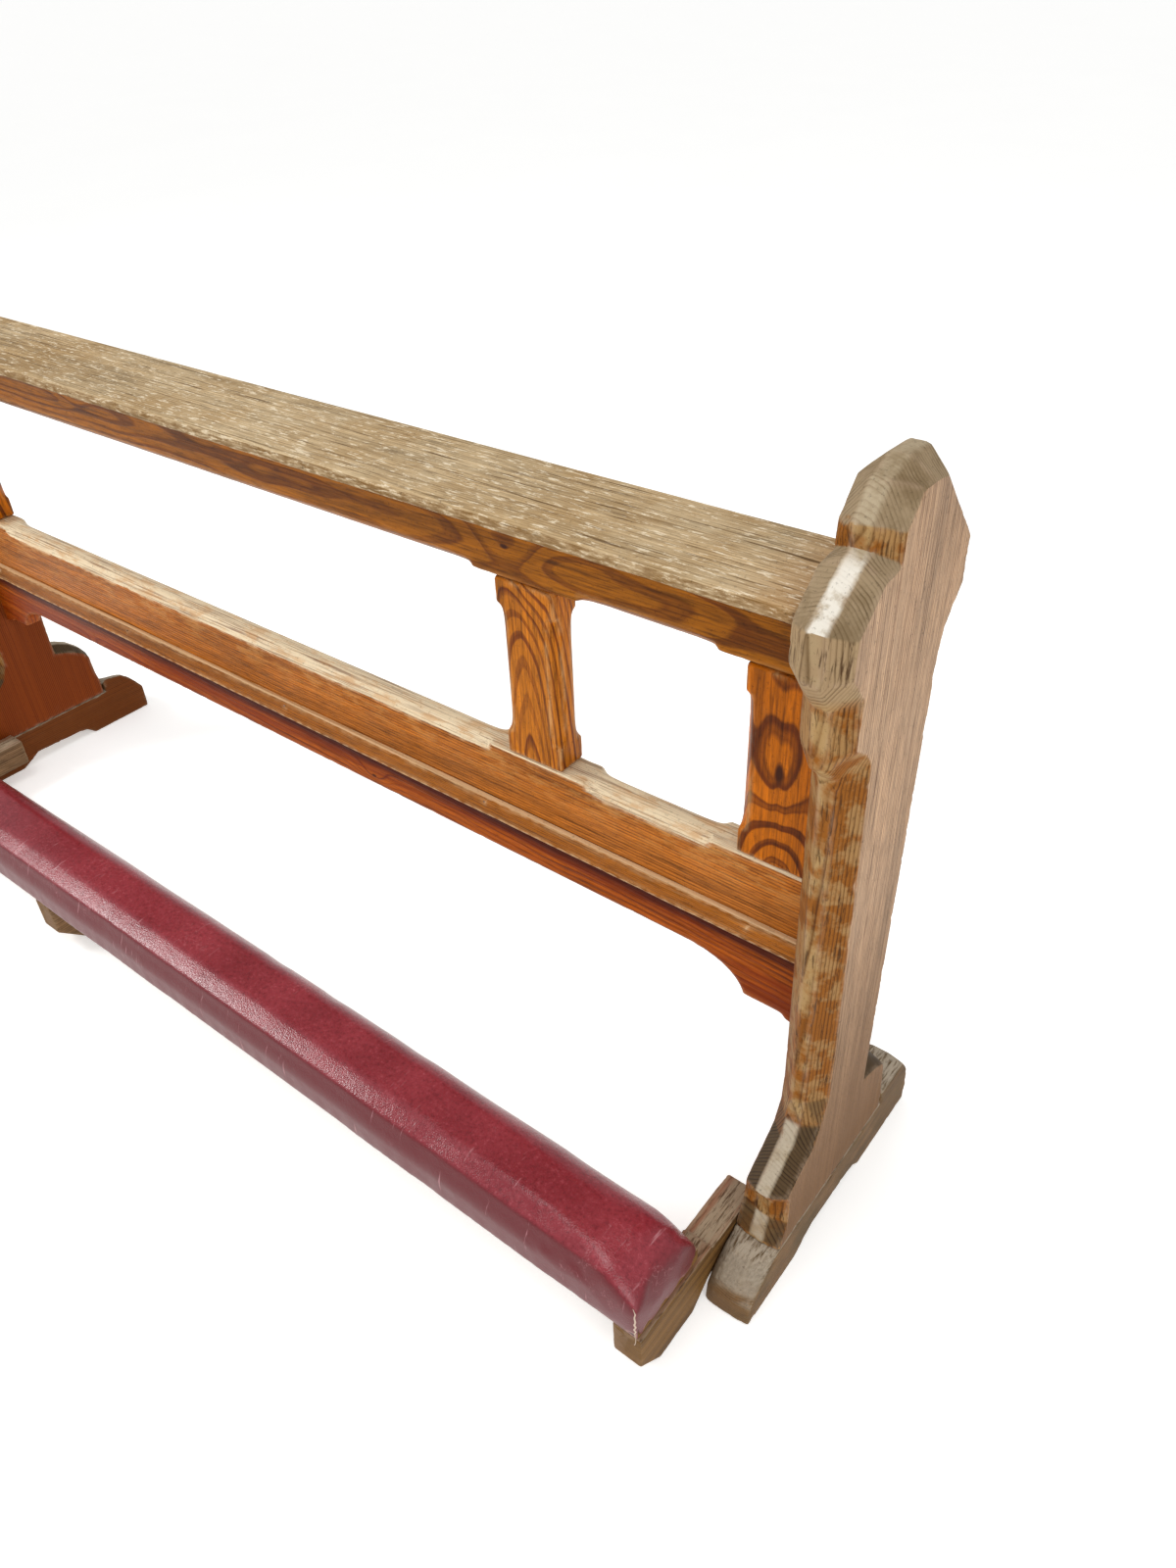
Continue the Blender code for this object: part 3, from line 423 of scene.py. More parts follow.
def rail_colours(graph, colour, face):
    """The lower rail: its top and top chamfer are worn to pale wood, and the wear runs into the face."""
    edge = graph.times_plus(face.ragged, 0.5, face.facing["Z"])
    colour = graph.mix(graph.ramp(edge, (0.50, 0.0), (0.72, 0.94)), colour, face.grey)
    ragged = graph.ramp(face.ragged, (0.48, 0.0), (0.60, 0.5))
    above = graph.times(graph.ramp(face.place["Z"], *RAIL_WORN), ragged)
    return graph.mix(above, colour, srgb(196, 140, 76))


def moulding_colours(graph, colour, face):
    """The moulding: a pale top, partly worn and partly painted light, and pale lines along both arrises."""
    line = graph.ramp(graph.attribute("arris"), (0.66, 0.0), (0.86, 0.7))
    # Worn arris lines, and a pale top that is partly painted light: faces turned upwards are lightened
    pale = graph.math("MAXIMUM", line, graph.ramp(face.facing["Z"], (0.3, 0.0), (0.7, 0.9)))
    return graph.mix(pale, colour, graph.mix(face.late, *MOULDING_WORN_AND_LIT))


def apron_colours(graph, colour, face):
    """The apron: red streaks, and a painted dark reddish shadow just below the moulding."""
    red = graph.ramp(face.streak, (0.42, 0.6), (0.56, 0.0))
    colour = graph.mix(red, colour, srgb(128, 42, 4))
    # Painted shadow: a dark reddish band on the apron just below the moulding
    painted_shadow = graph.ramp(graph.times_plus(face.ragged, 0.010, face.place["Z"]), *APRON_PAINTED_SHADOW)
    return graph.mix(painted_shadow, colour, srgb(58, 14, 6))


def end_upright(graph, face, chamfer):
    """The upright parts of an end board's edge: streaky brown with tan patches, olive at the upper nose."""
    patch = graph.ramp(graph.noise(graph.here, 34.0, 4.0, 0.6), (0.42, 0.0), (0.58, 1.0))
    bare = graph.minus(patch, graph.times(chamfer, 0.35), clamp=True)
    colour = graph.mix(bare, graph.mix(face.late, *END_BROWN), graph.mix(face.late, *END_TAN))
    colour = graph.mix(graph.ramp(face.place["Z"], *OLIVE_BAND), colour, graph.mix(face.late, *END_OLIVE))
    return graph.mix(graph.ramp(face.dash, (0.34, 0.8), (0.46, 0.0)), colour, srgb(58, 34, 14))


def end_slope(graph, face, chamfer):
    """The slopes of an end board's edge: weathered grey, darker low down, white patches between chamfers."""
    strong = graph.ramp(graph.noise(graph.here, 45.0, 3.0), (0.38, 0.25), (0.60, 1.0))
    ridges = graph.times(face.late, strong)
    smudge = graph.ramp(graph.noise(graph.here, 26.0, 5.0, 0.7), (0.46, 0.0), (0.62, 0.6))
    pale = graph.mix(smudge, graph.mix(ridges, *END_PALE), srgb(116, 96, 66))
    dull = graph.mix(smudge, graph.mix(ridges, *END_DULL), srgb(104, 84, 56))
    low = graph.ramp(face.place["Z"], *LOW_SLOPES)
    dull = graph.mix(low, dull, graph.mix(face.late, *END_DARK))
    band = graph.math("MAXIMUM", graph.ramp(face.place["Z"], *WHITE_BAND), graph.times(low, 0.25))
    patch = graph.ramp(graph.noise(graph.here, 30.0, 5.0, 0.65), (0.38, 0.0), (0.50, 0.9))
    white = graph.times(patch, graph.times(band, graph.minus(1.0, chamfer, clamp=True)))
    return graph.mix(white, graph.mix(chamfer, pale, dull), srgb(218, 212, 200))


def end_colours(graph, colour, face):
    """The end boards: a worn edge of uprights and slopes, a browner foot, cracks, a reddish inner face."""
    edge = graph.ramp(graph.math("ABSOLUTE", face.facing["X"]), (0.86, 1.0), (0.95, 0.0))
    aside = graph.times_plus(face.ragged, 0.004, graph.math("ABSOLUTE", face.across))
    chamfer = graph.ramp(aside, *END_CHAMFER)
    sloping = graph.ramp(face.facing["Z"], (0.12, 0.0), (0.34, 1.0))
    front = graph.mix(sloping, end_upright(graph, face, chamfer), end_slope(graph, face, chamfer))
    colour = graph.mix(graph.ramp(face.place["Z"], *LOW_BOARD), colour, graph.mix(face.late, *END_LOW))
    cracks = graph.noise(stretched(graph, face.place, "Z", 420.0, 7.0), 1.0, 3.0, 0.6)
    colour = graph.mix(graph.ramp(cracks, (0.30, 0.85), (0.37, 0.0)), colour, srgb(92, 58, 38))
    colour = graph.mix(edge, colour, front)
    inner = graph.ramp(inward(graph, face), (0.80, 0.0), (0.95, 0.95))
    return graph.mix(inner, colour, graph.mix(face.late, *END_INNER))


def foot_colours(graph, colour, face):
    """The foot: olive brown, streaky grey on top and over the toe, reddish brown inside."""
    patch = graph.ramp(graph.noise(graph.here, 16.0, 4.0), (0.42, 0.0), (0.66, 0.55))
    colour = graph.mix(patch, colour, srgb(80, 66, 40))
    inner = graph.ramp(inward(graph, face), (0.80, 0.0), (0.95, 0.85))
    colour = graph.mix(inner, colour, graph.mix(face.late, *FOOT_INNER))
    streaks = graph.ramp(face.dash, (0.36, 1.0), (0.54, 0.0))
    grey = graph.mix(streaks, srgb(172, 160, 142), srgb(92, 74, 52))
    return graph.mix(graph.ramp(face.facing["Z"], (0.25, 0.0), (0.70, 0.85)), colour, grey)


def bearer_colours(graph, colour, face):
    """The arms and bearer: yellow brown on all but the inner sides, grey and reddish patches on top."""
    outside = graph.ramp(inward(graph, face), (0.0, 0.85), (0.0, 0.0))
    streaks = graph.ramp(face.streak, (0.42, 0.0), (0.56, 1.0))
    early = graph.mix(streaks, srgb(84, 58, 28), srgb(130, 94, 48))
    colour = graph.mix(outside, colour, graph.mix(face.late, early, srgb(86, 56, 22)))
    patches = graph.ramp(face.streak, (0.44, 0.0), (0.58, 1.0))
    above = graph.mix(patches, srgb(160, 142, 118), srgb(138, 96, 74))
    above = graph.mix(graph.ramp(face.dash, (0.36, 0.9), (0.50, 0.0)), above, srgb(74, 52, 36))
    return graph.mix(graph.ramp(face.facing["Z"], (0.35, 0.0), (0.75, 0.85)), colour, above)


TINTS = {"rest": rest_colours, "rail": rail_colours, "moulding": moulding_colours, "apron": apron_colours,
         "end": end_colours, "foot": foot_colours, "bearer": bearer_colours}


def pine(name, finish, piece):
    """Return a worn pine material: rings, knots, fibres and streaks, bleached faces and pale arrises."""
    spec = PINE[finish]
    graph = Graph(name)
    face = wood_face(graph, spec, piece)
    colour = graph.mix(face.late, spec["early"], spec["late"])
    colour = shaded(graph, colour, face.streak, STREAK_SHADES)
    colour = shaded(graph, colour, face.fibre, FIBRE_SHADES)
    colour = shaded(graph, colour, face.dash, DASH_SHADES)
    colour = graph.mix(face.eyes, colour, KNOT_EYE)
    patches = graph.noise(graph.here, 7.0, 5.0, 0.6)
    weather = graph.times(graph.ramp(patches, (0.38, 0.2), (0.62, 1.0)), spec["weather"])
    colour = graph.mix(weather, colour, face.grey)
    if finish in TINTS:
        colour = TINTS[finish](graph, colour, face)
    arris = graph.times(graph.attribute("arris"), graph.ramp(face.ragged, (0.40, 0.0), (0.60, 1.0)))
    arris = graph.times(arris, spec["wear"], clamp=True)
    colour = graph.mix(arris, colour, face.grey)
    specks = graph.ramp(graph.noise(graph.here, 300.0, 3.0, 0.7), (0.60, 1.0), (0.70, 0.35))
    colour = graph.mix(0.6, colour, graph.mix(1.0, colour, specks, "MULTIPLY"))
    rough = graph.times_plus(weather, 0.22, spec["rough"])
    rough = graph.times_plus(arris, 0.25, rough)
    rough = graph.times_plus(face.fibre, 0.16, graph.minus(rough, 0.08), clamp=True)
    height = graph.times_plus(face.late, 0.5, graph.times(face.fibre, 0.9))
    graph.shader.inputs["Specular IOR Level"].default_value = WOOD_SPECULAR
    return graph.finish(colour, rough, graph.bump(height, 0.0008, 0.6))


def leather_wear(graph, colour, cloud, dusty):
    """Add pale scratches, fine wrinkles, and dust above the hem."""
    scratches = graph.noise(stretched(graph, graph.split(graph.here), "X", 12.0, 120.0), 1.0, 4.0, 0.65)
    colour = graph.mix(graph.ramp(scratches, (0.64, 0.0), (0.70, 0.5)), colour, srgb(200, 140, 146))
    wrinkles = graph.math("ABSOLUTE", graph.minus(graph.noise(graph.here, 13.0, 5.0, 0.65), 0.5))
    worn = graph.ramp(cloud, (0.54, 0.0), (0.66, 0.35))
    lines = graph.times(graph.ramp(wrinkles, (0.0, 1.0), (0.004, 0.0)), worn)
    colour = graph.mix(lines, colour, srgb(196, 132, 136))
    return graph.mix(dusty, colour, srgb(128, 84, 72))


def tack_marks(graph, colour):
    """Add a pale ring and a dark middle at each tack."""
    tacks = graph.attribute("tacks")
    ring = graph.ramp(tacks, (0.10, 0.0), (0.22, 0.7), (0.44, 0.6), (0.56, 0.0))
    colour = graph.mix(ring, colour, srgb(164, 116, 108))
    return graph.mix(graph.ramp(tacks, (0.54, 0.0), (0.70, 0.9)), colour, srgb(48, 16, 14))


def leatherette():
    """Return burgundy leatherette: pebble grain, flecks, scuffs, painted shade on the front and ends, a
    dusty hem, tack marks.
    """
    graph = Graph("leatherette")
    facing = graph.split(graph.normal)
    cloud = graph.noise(graph.here, 9.0, 4.0, 0.6)
    colour = graph.mix(graph.ramp(cloud, (0.35, 0.0), (0.65, 1.0)), srgb(122, 32, 42), srgb(142, 46, 56))
    flecks = graph.noise(graph.here, 230.0, 4.0, 0.7)
    colour = graph.mix(graph.ramp(flecks, (0.36, 0.45), (0.48, 0.0)), colour, srgb(84, 14, 24))
    colour = graph.mix(graph.ramp(flecks, (0.56, 0.0), (0.70, 0.40)), colour, srgb(176, 82, 92))
    # Painted shade: the faces turned to the front and to the ends are darkened
    aside = graph.math("MAXIMUM", graph.times(facing["Y"], -1.0), graph.math("ABSOLUTE", facing["X"]))
    front = graph.ramp(aside, (0.50, 0.0), (0.85, 0.90))
    colour = graph.mix(front, colour, srgb(90, 8, 18))
    clouded = graph.ramp(cloud, (0.30, 0.3), (0.6, 1.0))
    dusty = graph.times(graph.ramp(graph.split(graph.here)["Z"], *PAD_DUST), clouded)
    colour = tack_marks(graph, leather_wear(graph, colour, cloud, dusty))
    rough = graph.times_plus(flecks, 0.14, graph.ramp(cloud, (0.3, 0.13), (0.7, 0.20)))
    rough = graph.plus(graph.times_plus(dusty, 0.3, rough), graph.times(front, 0.2))
    graph.shader.inputs["Specular IOR Level"].default_value = LEATHER_SPECULAR
    normal = graph.bump(graph.pebble(620.0), 0.0005, 0.35)
    normal = graph.bump(graph.noise(graph.here, 46.0, 3.0), 0.0022, 0.30, normal)
    return graph.finish(colour, rough, normal)


def steel():
    """Return dull steel with brown stains."""
    graph = Graph("steel")
    stain = graph.ramp(graph.noise(graph.here, 240.0, 4.0), (0.42, 0.0), (0.6, 1.0))
    graph.shader.inputs["Metallic"].default_value = 0.9
    colour = graph.mix(stain, srgb(150, 148, 144), srgb(96, 66, 46))
    return graph.finish(colour, graph.ramp(stain, (0.0, 0.36), (1.0, 0.7)), graph.bump(stain, 0.0002, 0.3))


def plain(name, colour, other, scale, roughness):
    """Return a quiet material that varies between two close colours."""
    graph = Graph(name)
    spread = graph.noise(graph.here, scale, 4.0)
    rough = graph.ramp(spread, (0.0, roughness - 0.05), (1.0, roughness + 0.05))
    return graph.finish(graph.mix(spread, colour, other), rough, graph.bump(spread, 0.0003, 0.15))


def smooth_noise(points, scale, seed):
    """Return value noise from -1 to 1 at each point."""
    spots = points * scale + seed * 3.71
    cell = np.floor(spots).astype(np.int64)
    blend = spots - cell
    blend = blend * blend * (3 - 2 * blend)
    total = np.zeros(len(points))
    for corner in product((0, 1), repeat=3):
        lattice = cell + np.array(corner)
        mixed = (lattice[:, 0] * 73856093) ^ (lattice[:, 1] * 19349663)
        mixed = mixed ^ (lattice[:, 2] * 83492791) ^ (seed * 2654435)
        mixed = ((mixed & 0xFFFFFF) * 1103515245 + 12345) & 0x7FFFFFFF
        weight = np.prod(np.where(np.array(corner) == 1, blend, 1 - blend), axis=1)
        total += weight * (mixed / 0x3FFFFFFF - 1)
    return total


def dents(places, broad, fine, seed, spared=0.0):
    """Return dents from 0 to 1 at each point, from a broad and a fine noise."""
    rough = smooth_noise(places, broad, seed) * 0.6 + smooth_noise(places, fine, seed + 1) * 0.5
    return np.clip(rough - spared, 0, 1)


def vertex_array(mesh, what="co"):
    """Return the vertices' places or normals as an array."""
    values = np.empty(len(mesh.vertices) * 3)
    mesh.vertices.foreach_get(what, values)
    return values.reshape(-1, 3)


def set_vertices(mesh, places):
    """Move the vertices."""
    mesh.vertices.foreach_set("co", places.ravel())
    mesh.update()


def mark(mesh, name, values):
    """Keep a value per vertex for the materials."""
    mesh.attributes.new(name, "FLOAT", "POINT").data.foreach_set("value", values)


def shade_smooth(mesh):
    """Shade every face smooth."""
    mesh.polygons.foreach_set("use_smooth", np.ones(len(mesh.polygons), bool))


def as_mesh(bm, name):
    """Turn a bmesh into a mesh and free it."""
    mesh = bpy.data.meshes.new(name)
    bm.to_mesh(mesh)
    bm.free()
    return mesh


def lofted(name, sections):
    """Return a closed mesh through sections that have the same number of points."""
    bm = bmesh.new()
    rings = [[bm.verts.new(point) for point in section] for section in sections]
    for near, far in zip(rings, rings[1:]):
        for i in range(len(near)):
            j = (i + 1) % len(near)
            bm.faces.new((near[i], near[j], far[j], far[i]))
    bm.faces.new(rings[0])
    bm.faces.new(rings[-1])
    bmesh.ops.recalc_face_normals(bm, faces=bm.faces)
    return as_mesh(bm, name)


def baked(item, *modifiers):
    """Apply modifiers given as (kind, settings) and keep only the mesh."""
    for kind, settings in modifiers:
        modifier = item.modifiers.new(kind.lower(), kind)
        for key, value in settings.items():
            setattr(modifier, key, value)
    evaluated = item.evaluated_get(bpy.context.evaluated_depsgraph_get())
    mesh = bpy.data.meshes.new_from_object(evaluated)
    item.modifiers.clear()
    item.data = mesh
    return mesh


def linked(name, data):
    """Add an object to the scene."""
    item = bpy.data.objects.new(name, data)
    bpy.context.scene.collection.objects.link(item)
    return item


def new_piece(name, mesh, material):
    """Add a piece of the object with one material."""
    item = linked(name, mesh)
    mesh.materials.clear()
    mesh.materials.append(material)
    return item


def arris_tree(mesh):
    """Return a search tree of points along the convex arrises of a CAD mesh."""
    bm = bmesh.new()
    bm.from_mesh(mesh)
    bmesh.ops.remove_doubles(bm, verts=bm.verts, dist=SAME_POINT)
    points = []
    for edge in bm.edges:
        if len(edge.link_faces) != 2 or edge.calc_face_angle_signed(0.0) < ARRIS_ANGLE:
            continue
        start, end = edge.verts[0].co, edge.verts[1].co
        count = max(2, int((end - start).length / ARRIS_STEP) + 1)
        points.extend(start.lerp(end, i / (count - 1)) for i in range(count))
    bm.free()
    tree = KDTree(len(points))
    for index, point in enumerate(points):
        tree.insert(point, index)
    tree.balance()
    return tree


def arris_nearness(tree, places):
    """Return 1 for a point on an arris, falling to 0 at the reach of the wear."""
    distance = np.array([tree.find(place)[2] for place in places])
    return np.clip(1 - distance / WEAR_REACH, 0, 1)


def carve(name, finish, body, seed, depth=0.0016, voxel=VOXEL):
    """Stand a worn copy in for a wooden CAD node: rounded and dented arrises, a slightly uneven face."""
    source = NODES[name].data
    item = linked(f"{name}_worn", source.copy())
    mesh = baked(item, ("REMESH", {"mode": "VOXEL", "voxel_size": voxel, "use_smooth_shade": True}))
    tree = arris_tree(source)
    places, normals = vertex_array(mesh), vertex_array(mesh, "normal")
    near = arris_nearness(tree, places)
    face = smooth_noise(places, 14, seed + 2) * UNEVENNESS
    sunk = near ** 1.5 * (WEAR_EVERYWHERE + depth * dents(places, 55, 150, seed, 0.12)) + face
    set_vertices(mesh, places - normals * sunk[:, None])
    mesh = baked(item, ("DECIMATE", {"ratio": KEEP_SHARE}))
    mark(mesh, "arris", arris_nearness(tree, vertex_array(mesh)))
    shade_smooth(mesh)
    mesh.set_sharp_from_angle(angle=SHARP_ANGLE)
    mesh.materials.clear()
    mesh.materials.append(pine(f"{name}_{finish}", finish, name))
    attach(item, body)
    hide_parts(name)


def strip(node, section, finish, seed, depth):
    """Stand a lofted strip in for a node that runs along X, with a hand-worn section."""
    low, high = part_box(node)
    name = f"{node}_worn"
    stations = np.linspace(low[0], high[0], STRIP_STATIONS)
    mesh = lofted(name, [[(x, y, z) for y, z in section] for x in stations])
    places, normals = vertex_array(mesh), vertex_array(mesh, "normal")
    front = np.clip(1 - (places[:, 1] - low[1]) / STRIP_FRONT, 0, 1)
    inner = (np.abs(places[:, 0]) < high[0] - 0.001).astype(float)
    face = inner * UNEVENNESS * smooth_noise(places, 12, seed + 2)
    sunk = inner * front * depth * dents(places, 38, 120, seed) + face
    set_vertices(mesh, places - normals * sunk[:, None])
    mark(mesh, "arris", arris_nearness(arris_tree(NODES[node].data), vertex_array(mesh)) * front)
    item = new_piece(name, mesh, pine(f"{name}_{finish}", finish, node))
    for polygon in mesh.polygons:
        polygon.use_smooth = len(polygon.vertices) == 4
    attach(item, "frame")
    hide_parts(node)


def rounded_section(corners):
    """Return a section with rounded corners from (y, z, radius) corners."""
    points = []
    count = len(corners)
    for i, (y, z, radius) in enumerate(corners):
        here = Vector((y, z))
        before = (Vector(corners[i - 1][:2]) - here).normalized() * radius
        after = (Vector(corners[(i + 1) % count][:2]) - here).normalized() * radius
        for step in range(CORNER_STEPS + 1):
            t = step / CORNER_STEPS
            bend = (here + before).lerp(here, t).lerp(here.lerp(here + after, t), t)
            points.append((bend.x, bend.y))
    return refined_section(points)


def refined_section(points):
    """Divide a section's long sides."""
    result = []
    for i, start in enumerate(points):
        end = points[(i + 1) % len(points)]
        count = max(1, int(math.dist(start, end) / LONGEST_SIDE))
        for step in range(count):
            t = step / count
            result.append((start[0] + (end[0] - start[0]) * t, start[1] + (end[1] - start[1]) * t))
    return result


def add_book_rest():
    """The book rest: a thin board with a rounded, bruised nosing that is cut back underneath."""
    low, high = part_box("book_rest")
    corners = ((low[1], low[2] + 0.008, 0.002), (low[1], high[2], 0.0048), (high[1], high[2], 0.002),
               (high[1], low[2], 0.001), (low[1] + 0.014, low[2], 0.002))
    strip("book_rest", rounded_section(corners), "rest", 21, 0.0013)


def add_moulding():
    """The moulding: a small strip with a worn top arris."""
    low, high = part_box("moulding")
    corners = ((low[1], low[2], 0.0015), (low[1] + 0.0004, high[2], 0.0030),
               (high[1], high[2], 0.0004), (high[1], low[2], 0.0004))
    strip("moulding", rounded_section(corners), "moulding", 31, 0.0009)


def add_woodwork():
    """Carve every other wooden piece that shows."""
    for name, finish, slot_name, seed in (
        ("upper_rail", "upper", "varnished_pine", 41), ("lower_rail", "rail", "varnished_pine", 42),
        ("apron", "apron", "apron_pine", 43), ("muntin", "upright", "varnished_pine", 44),
        ("stile_left", "stile", "varnished_pine", 45), ("stile_right", "stile", "varnished_pine", 46),
    ):
        carve(name, finish, "frame", seed)
    for side, seed in (("left", 51), ("right", 53)):
        carve(f"end_board_{side}", "end", "frame", seed, 0.0022, VOXEL_ENDS)
        carve(f"foot_{side}", "foot", "frame", seed + 1, 0.0026, VOXEL_ENDS)
    for name, seed in (("kneeler_arm_left", 61), ("kneeler_arm_right", 62), ("kneeler_bearer_middle", 63)):
        carve(name, "bearer", "kneeler", seed, 0.0018, VOXEL_ENDS)


def pad_form():
    """Return the pad's starting form: a crowned section that drops towards both ends, closed at the hem."""
    low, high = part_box("kneeler_pad")
    end = high[0] - PAD_SHRINK
    straight = end - PAD_END_RUN
    depth = high[1] - low[1] - 2 * PAD_SHRINK
    first = np.linspace(-end, -end + PAD_END_RUN, PAD_END_STATIONS)
    middle = np.linspace(-end + PAD_END_RUN, straight, PAD_STATIONS)[1:-1]
    last = np.linspace(straight, end, PAD_END_STATIONS)
    sections = []
    for x in np.concatenate((first, middle, last)):
        run = min(1.0, (end - abs(x)) / PAD_END_RUN)
        height = PAD_END_HEIGHT + (1 - PAD_END_HEIGHT) * math.sin(run * math.pi / 2)
        rise = (high[2] - low[2] - PAD_SHRINK) * height
        sections.append([(x, low[1] + PAD_SHRINK + depth * a, low[2] + rise * b) for a, b in PAD_SECTION])
    return lofted("kneeler_pad_soft", sections)


def puff(item):
    """Blow the pad up by cloth simulation with its hem held, and cap how far a point may move."""
    before = vertex_array(item.data)
    hem = item.vertex_groups.new(name="hem")
    low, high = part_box("kneeler_pad")
    held = [int(i) for i in np.nonzero(before[:, 2] < low[2] + HEM_HEIGHT)[0]]
    hem.add(held, 1.0, "REPLACE")
    cloth = item.modifiers.new("cloth", "CLOTH")
    cloth.settings.use_pressure = True
    cloth.settings.uniform_pressure_force = PAD_PRESSURE
    cloth.settings.vertex_group_mass = "hem"
    cloth.settings.effector_weights.gravity = 0.0
    scene = bpy.context.scene
    for number in range(1, PAD_FRAMES + 1):
        scene.frame_set(number)
    evaluated = item.evaluated_get(bpy.context.evaluated_depsgraph_get())
    move = vertex_array(evaluated.data) - before
    item.modifiers.clear()
    scene.frame_set(1)
    length = np.linalg.norm(move, axis=1, keepdims=True)
    move *= np.minimum(1.0, PAD_CAP / np.maximum(length, 1e-9))
    places = np.clip(before + move, np.array(low) + PAD_MARGIN, np.array(high) - PAD_MARGIN)
    set_vertices(item.data, places)


def tack_distance(places, low, axis):
    """Return each point's distance from the nearest tack of a row along one axis."""
    along = (places[:, axis] + TACK_PITCH / 2) % TACK_PITCH - TACK_PITCH / 2
    return np.hypot(along, places[:, 2] - low[2] - TACK_HEIGHT)


def tack_rows(places, low, high):
    """Return each point's distance from a tack of the front hem or the end hems, 1 where there is none."""
    front = np.where(places[:, 1] < low[1] + FRONT_ROW_REACH, tack_distance(places, low, 0), 1.0)
    side = np.where(np.abs(places[:, 0]) > high[0] - END_ROW_REACH, tack_distance(places, low, 1), 1.0)
    return np.minimum(front, side)


def crease(mesh):
    """Press in the tacks, the pulls above them and the shallow folds across the top."""
    low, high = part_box("kneeler_pad")
    places, normals = vertex_array(mesh), vertex_array(mesh, "normal")
    tacks = np.exp(-(tack_rows(places, low, high) / TACK_REACH) ** 2)
    hem = np.clip(1 - (places[:, 2] - low[2]) / PULL_HEIGHT, 0, 1)
    pulls = hem * (0.5 - 0.5 * np.cos(places[:, 0] / TACK_PITCH * math.tau)) * PULL_DEPTH
    folds = np.clip(smooth_noise(places * np.array(FOLD_STRETCH), 20, 71) - 0.25, 0, 1) * FOLD_DEPTH
    soft = smooth_noise(places, 10, 72) * SOFTNESS
    outside = (places[:, 2] > low[2] + UNDERSIDE).astype(float)
    sunk = outside * (tacks * TACK_DEPTH + pulls + folds + soft)
    moved = places - normals * sunk[:, None]
    set_vertices(mesh, np.clip(moved, np.array(low), np.array(high)))
    mark(mesh, "tacks", tacks)


def hollow(item):
    """Take the board's room out of the pad."""
    low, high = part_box("kneeler_board")
    gap = BOARD_CLEARANCE
    bottom = Vector((low[0] - gap, low[1] - gap, low[2] - BOARD_ROOM_BELOW))
    top = Vector((high[0] + gap, high[1] + gap, high[2] + gap))
    bm = bmesh.new()
    bmesh.ops.create_cube(bm, size=1.0)
    bmesh.ops.scale(bm, verts=bm.verts, vec=top - bottom)
    bmesh.ops.translate(bm, verts=bm.verts, vec=(top + bottom) / 2)
    room = linked("room", as_mesh(bm, "room"))
    baked(item, ("BOOLEAN", {"operation": "DIFFERENCE", "solver": "EXACT", "object": room}))
    bpy.data.objects.remove(room)


def add_pad():
    """The kneeler's pad: remeshed, blown up, subdivided once, creased, and hollowed for its board."""
    item = new_piece("kneeler_pad_soft", pad_form(), leatherette())
    baked(item, ("REMESH", {"mode": "VOXEL", "voxel_size": PAD_VOXEL, "use_smooth_shade": True}))
    puff(item)
    baked(item, ("SUBSURF", {"levels": 1}))
    crease(item.data)
    hollow(item)
    shade_smooth(item.data)
    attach(item, "kneeler")
    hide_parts("kneeler_pad")
    return item


def seam_points(tree, corner, number):
    """Return the points of one row across the seam, where they lie on the pad."""
    low_z = corner.z + SEAM_START + number * SEAM_PITCH
    into = Vector((-1, 1, 0)).normalized()
    across = Vector((1, 1, 0)).normalized()
    waver = 0.0009 * math.sin(number * 1.7) + 0.0006 * math.sin(number * 4.1)
    width = 0.0005 + 0.0007 * math.sin(math.pi * number / (SEAM_ROWS - 1))
    points = []
    for side in SEAM_SIDES:
        start = Vector((corner.x, corner.y, low_z)) - into * RAY_START
        start += across * (waver + side * width)
        place = tree.ray_cast(start, into)[0]
        if place is not None:
            points.append(place - into * (0.0007 if abs(side) < 0.5 else 0.0001))
    return points


def add_torn_seam(pad):
    """The open seam at the front right corner, and the thread that hangs from it."""
    low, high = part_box("kneeler_pad")
    corner = Vector((high[0], low[1], low[2]))
    places = [vertex.co for vertex in pad.data.vertices]
    tree = BVHTree.FromPolygons(places, [polygon.vertices for polygon in pad.data.polygons])
    rows = [seam_points(tree, corner, number) for number in range(SEAM_ROWS)]
    rows = [row for row in rows if len(row) == len(SEAM_SIDES)]
    bm = bmesh.new()
    grid = [[bm.verts.new(point) for point in row] for row in rows]
    for near, far in zip(grid, grid[1:]):
        for i in range(len(SEAM_SIDES) - 1):
            bm.faces.new((near[i], near[i + 1], far[i + 1], far[i]))
    backing = plain("backing_cloth", srgb(214, 196, 178), srgb(176, 150, 130), 300.0, 0.85)
    seam = new_piece("torn_seam", as_mesh(bm, "torn_seam"), backing)
    baked(seam, ("SOLIDIFY", {"thickness": SEAM_THICKNESS, "offset": -1.0}), ("SUBSURF", {"levels": 1}))
    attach(seam, "kneeler")
    add_thread(rows[0][1], backing)


def add_thread(start, material):
    """A short curled thread."""
    curve = bpy.data.curves.new("loose_thread", "CURVE")
    curve.dimensions = "3D"
    curve.bevel_depth = THREAD_RADIUS
    curve.bevel_resolution = 2
    curve.use_fill_caps = True
    spline = curve.splines.new("NURBS")
    spline.points.add(THREAD_POINTS - 1)
    for number, point in enumerate(spline.points):
        t = number / (THREAD_POINTS - 1)
        curl = 0.0035 * math.sin(t * 5.5)
        drop = 0.004 - 0.020 * t + 0.004 * math.sin(t * 7)
        point.co = (*(start + Vector((0.0012 + curl * 0.5, -0.0012 - curl * 0.3, drop))), 1.0)
    spline.use_endpoint_u = True
    spline.order_u = 4
    holder = linked("thread_path", curve)
    mesh = bpy.data.meshes.new_from_object(holder.evaluated_get(bpy.context.evaluated_depsgraph_get()))
    bpy.data.objects.remove(holder)
    thread = new_piece("loose_thread", mesh, material)
    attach(thread, "kneeler")


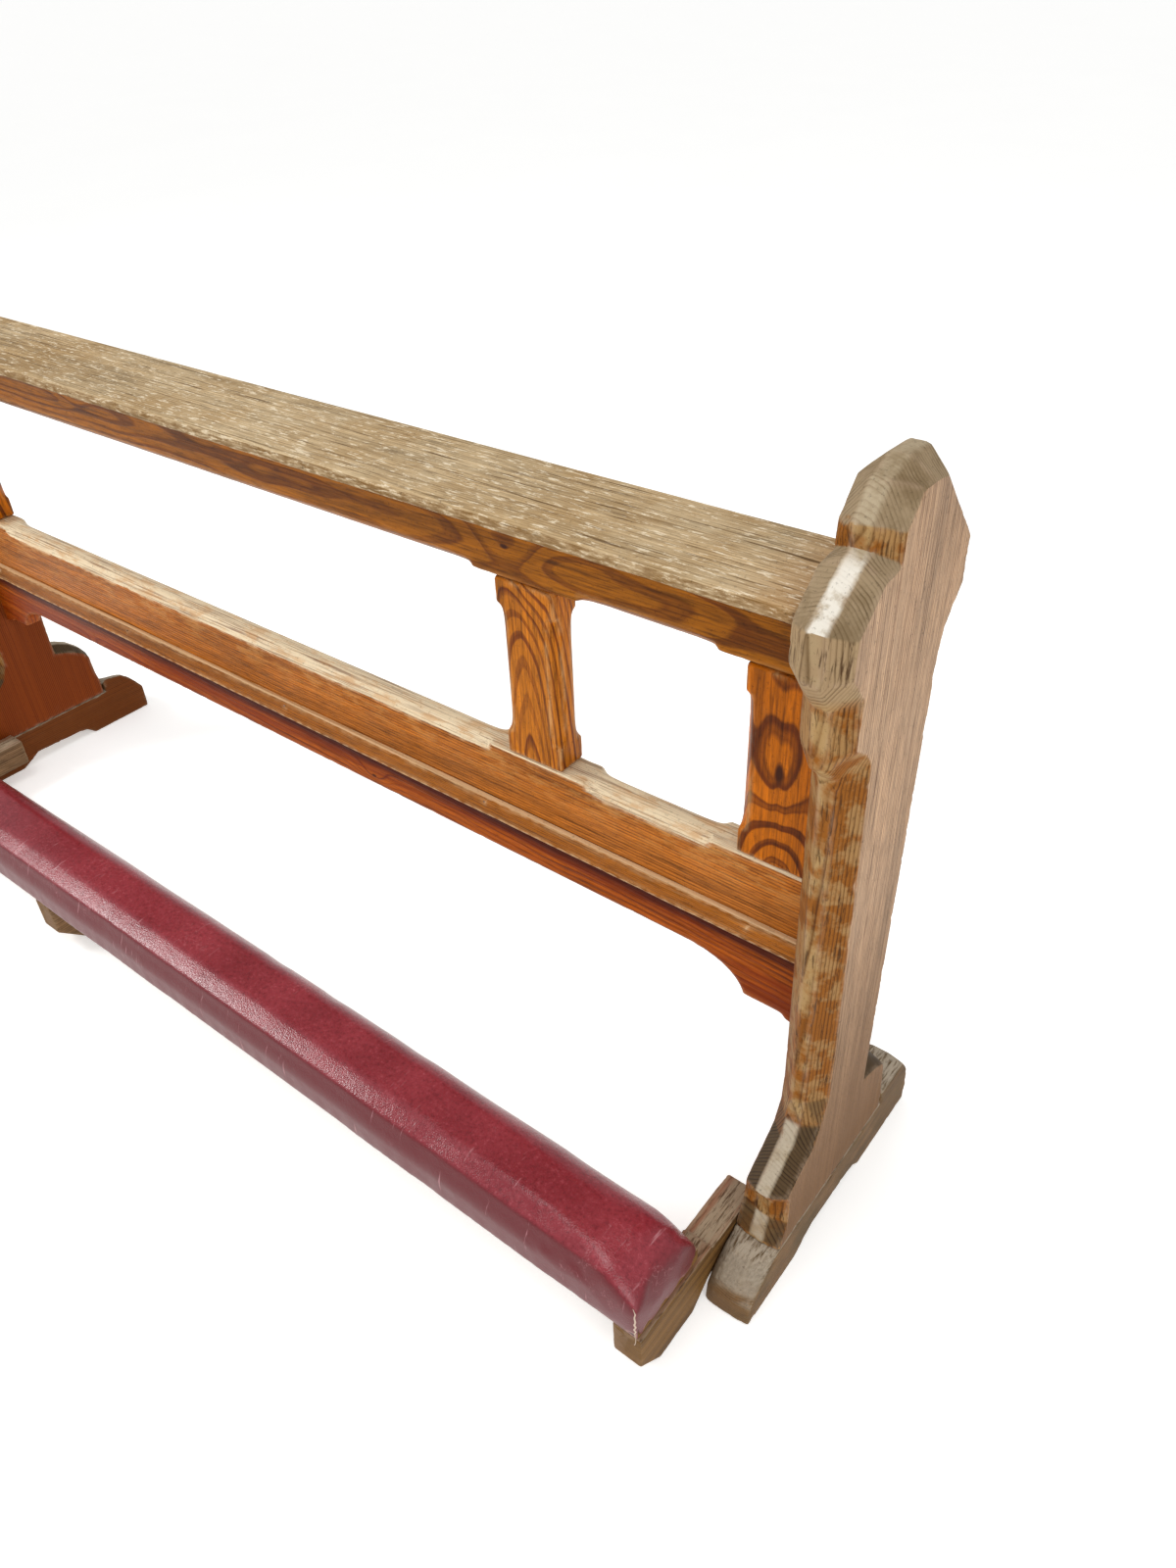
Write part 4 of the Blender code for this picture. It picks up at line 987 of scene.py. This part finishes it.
def finish_fasteners():
    """Give the CAD nodes that stay their materials."""
    metal = steel()
    for name, node in NODES.items():
        if any(word in name for word in ("screw", "nail", "pin")):
            for slot in node.material_slots:
                slot.material = metal
    for name in ("rest_dowel_left", "rest_dowel_right", "kneeler_board"):
        for slot in NODES[name].material_slots:
            slot.material = pine(f"{name}_bearer", "bearer", name)


def add_floor():
    """A plain pale floor, larger than the view, that gives off a little light of its own."""
    bm = bmesh.new()
    bmesh.ops.create_grid(bm, x_segments=2, y_segments=2, size=FLOOR_REACH)
    floor = linked("floor", as_mesh(bm, "floor"))
    paint = plain("floor_paint", srgb(252, 252, 250), srgb(247, 247, 245), 1.5, 0.8)
    shader = paint.node_tree.nodes["Principled BSDF"]
    shader.inputs["Emission Color"].default_value = WHITE
    shader.inputs["Emission Strength"].default_value = FLOOR_GLOW
    floor.data.materials.append(paint)


def add_light(name, place, target, size, energy):
    """Add a soft square light aimed at a point."""
    data = bpy.data.lights.new(name, "AREA")
    data.size = size
    data.energy = energy
    light = linked(name, data)
    light.location = place
    light.rotation_euler = (Vector(target) - Vector(place)).to_track_quat("-Z", "Y").to_euler()


def add_lights():
    """A key from the front left, a fill from the right, a light from above and pale surroundings."""
    for light in LIGHTS:
        add_light(*light)
    world = bpy.data.worlds.new("studio")
    world.use_nodes = True
    background = world.node_tree.nodes["Background"]
    background.inputs["Color"].default_value = WHITE
    background.inputs["Strength"].default_value = WORLD_STRENGTH
    bpy.context.scene.world = world
    bpy.context.scene.view_settings.view_transform = "Standard"


def add_camera():
    """Stand the camera where the bench is seen from above its right end."""
    data = bpy.data.cameras.new("camera")
    data.lens = CAMERA_LENS
    data.sensor_width = SENSOR
    data.sensor_fit = "AUTO"
    camera = linked("camera", data)
    camera.location = CAMERA_PLACE
    camera.rotation_euler = [math.radians(angle) for angle in CAMERA_ANGLES]
    bpy.context.scene.camera = camera


add_camera()
add_lights()
add_floor()
add_woodwork()
add_book_rest()
add_moulding()
finish_fasteners()
add_torn_seam(add_pad())
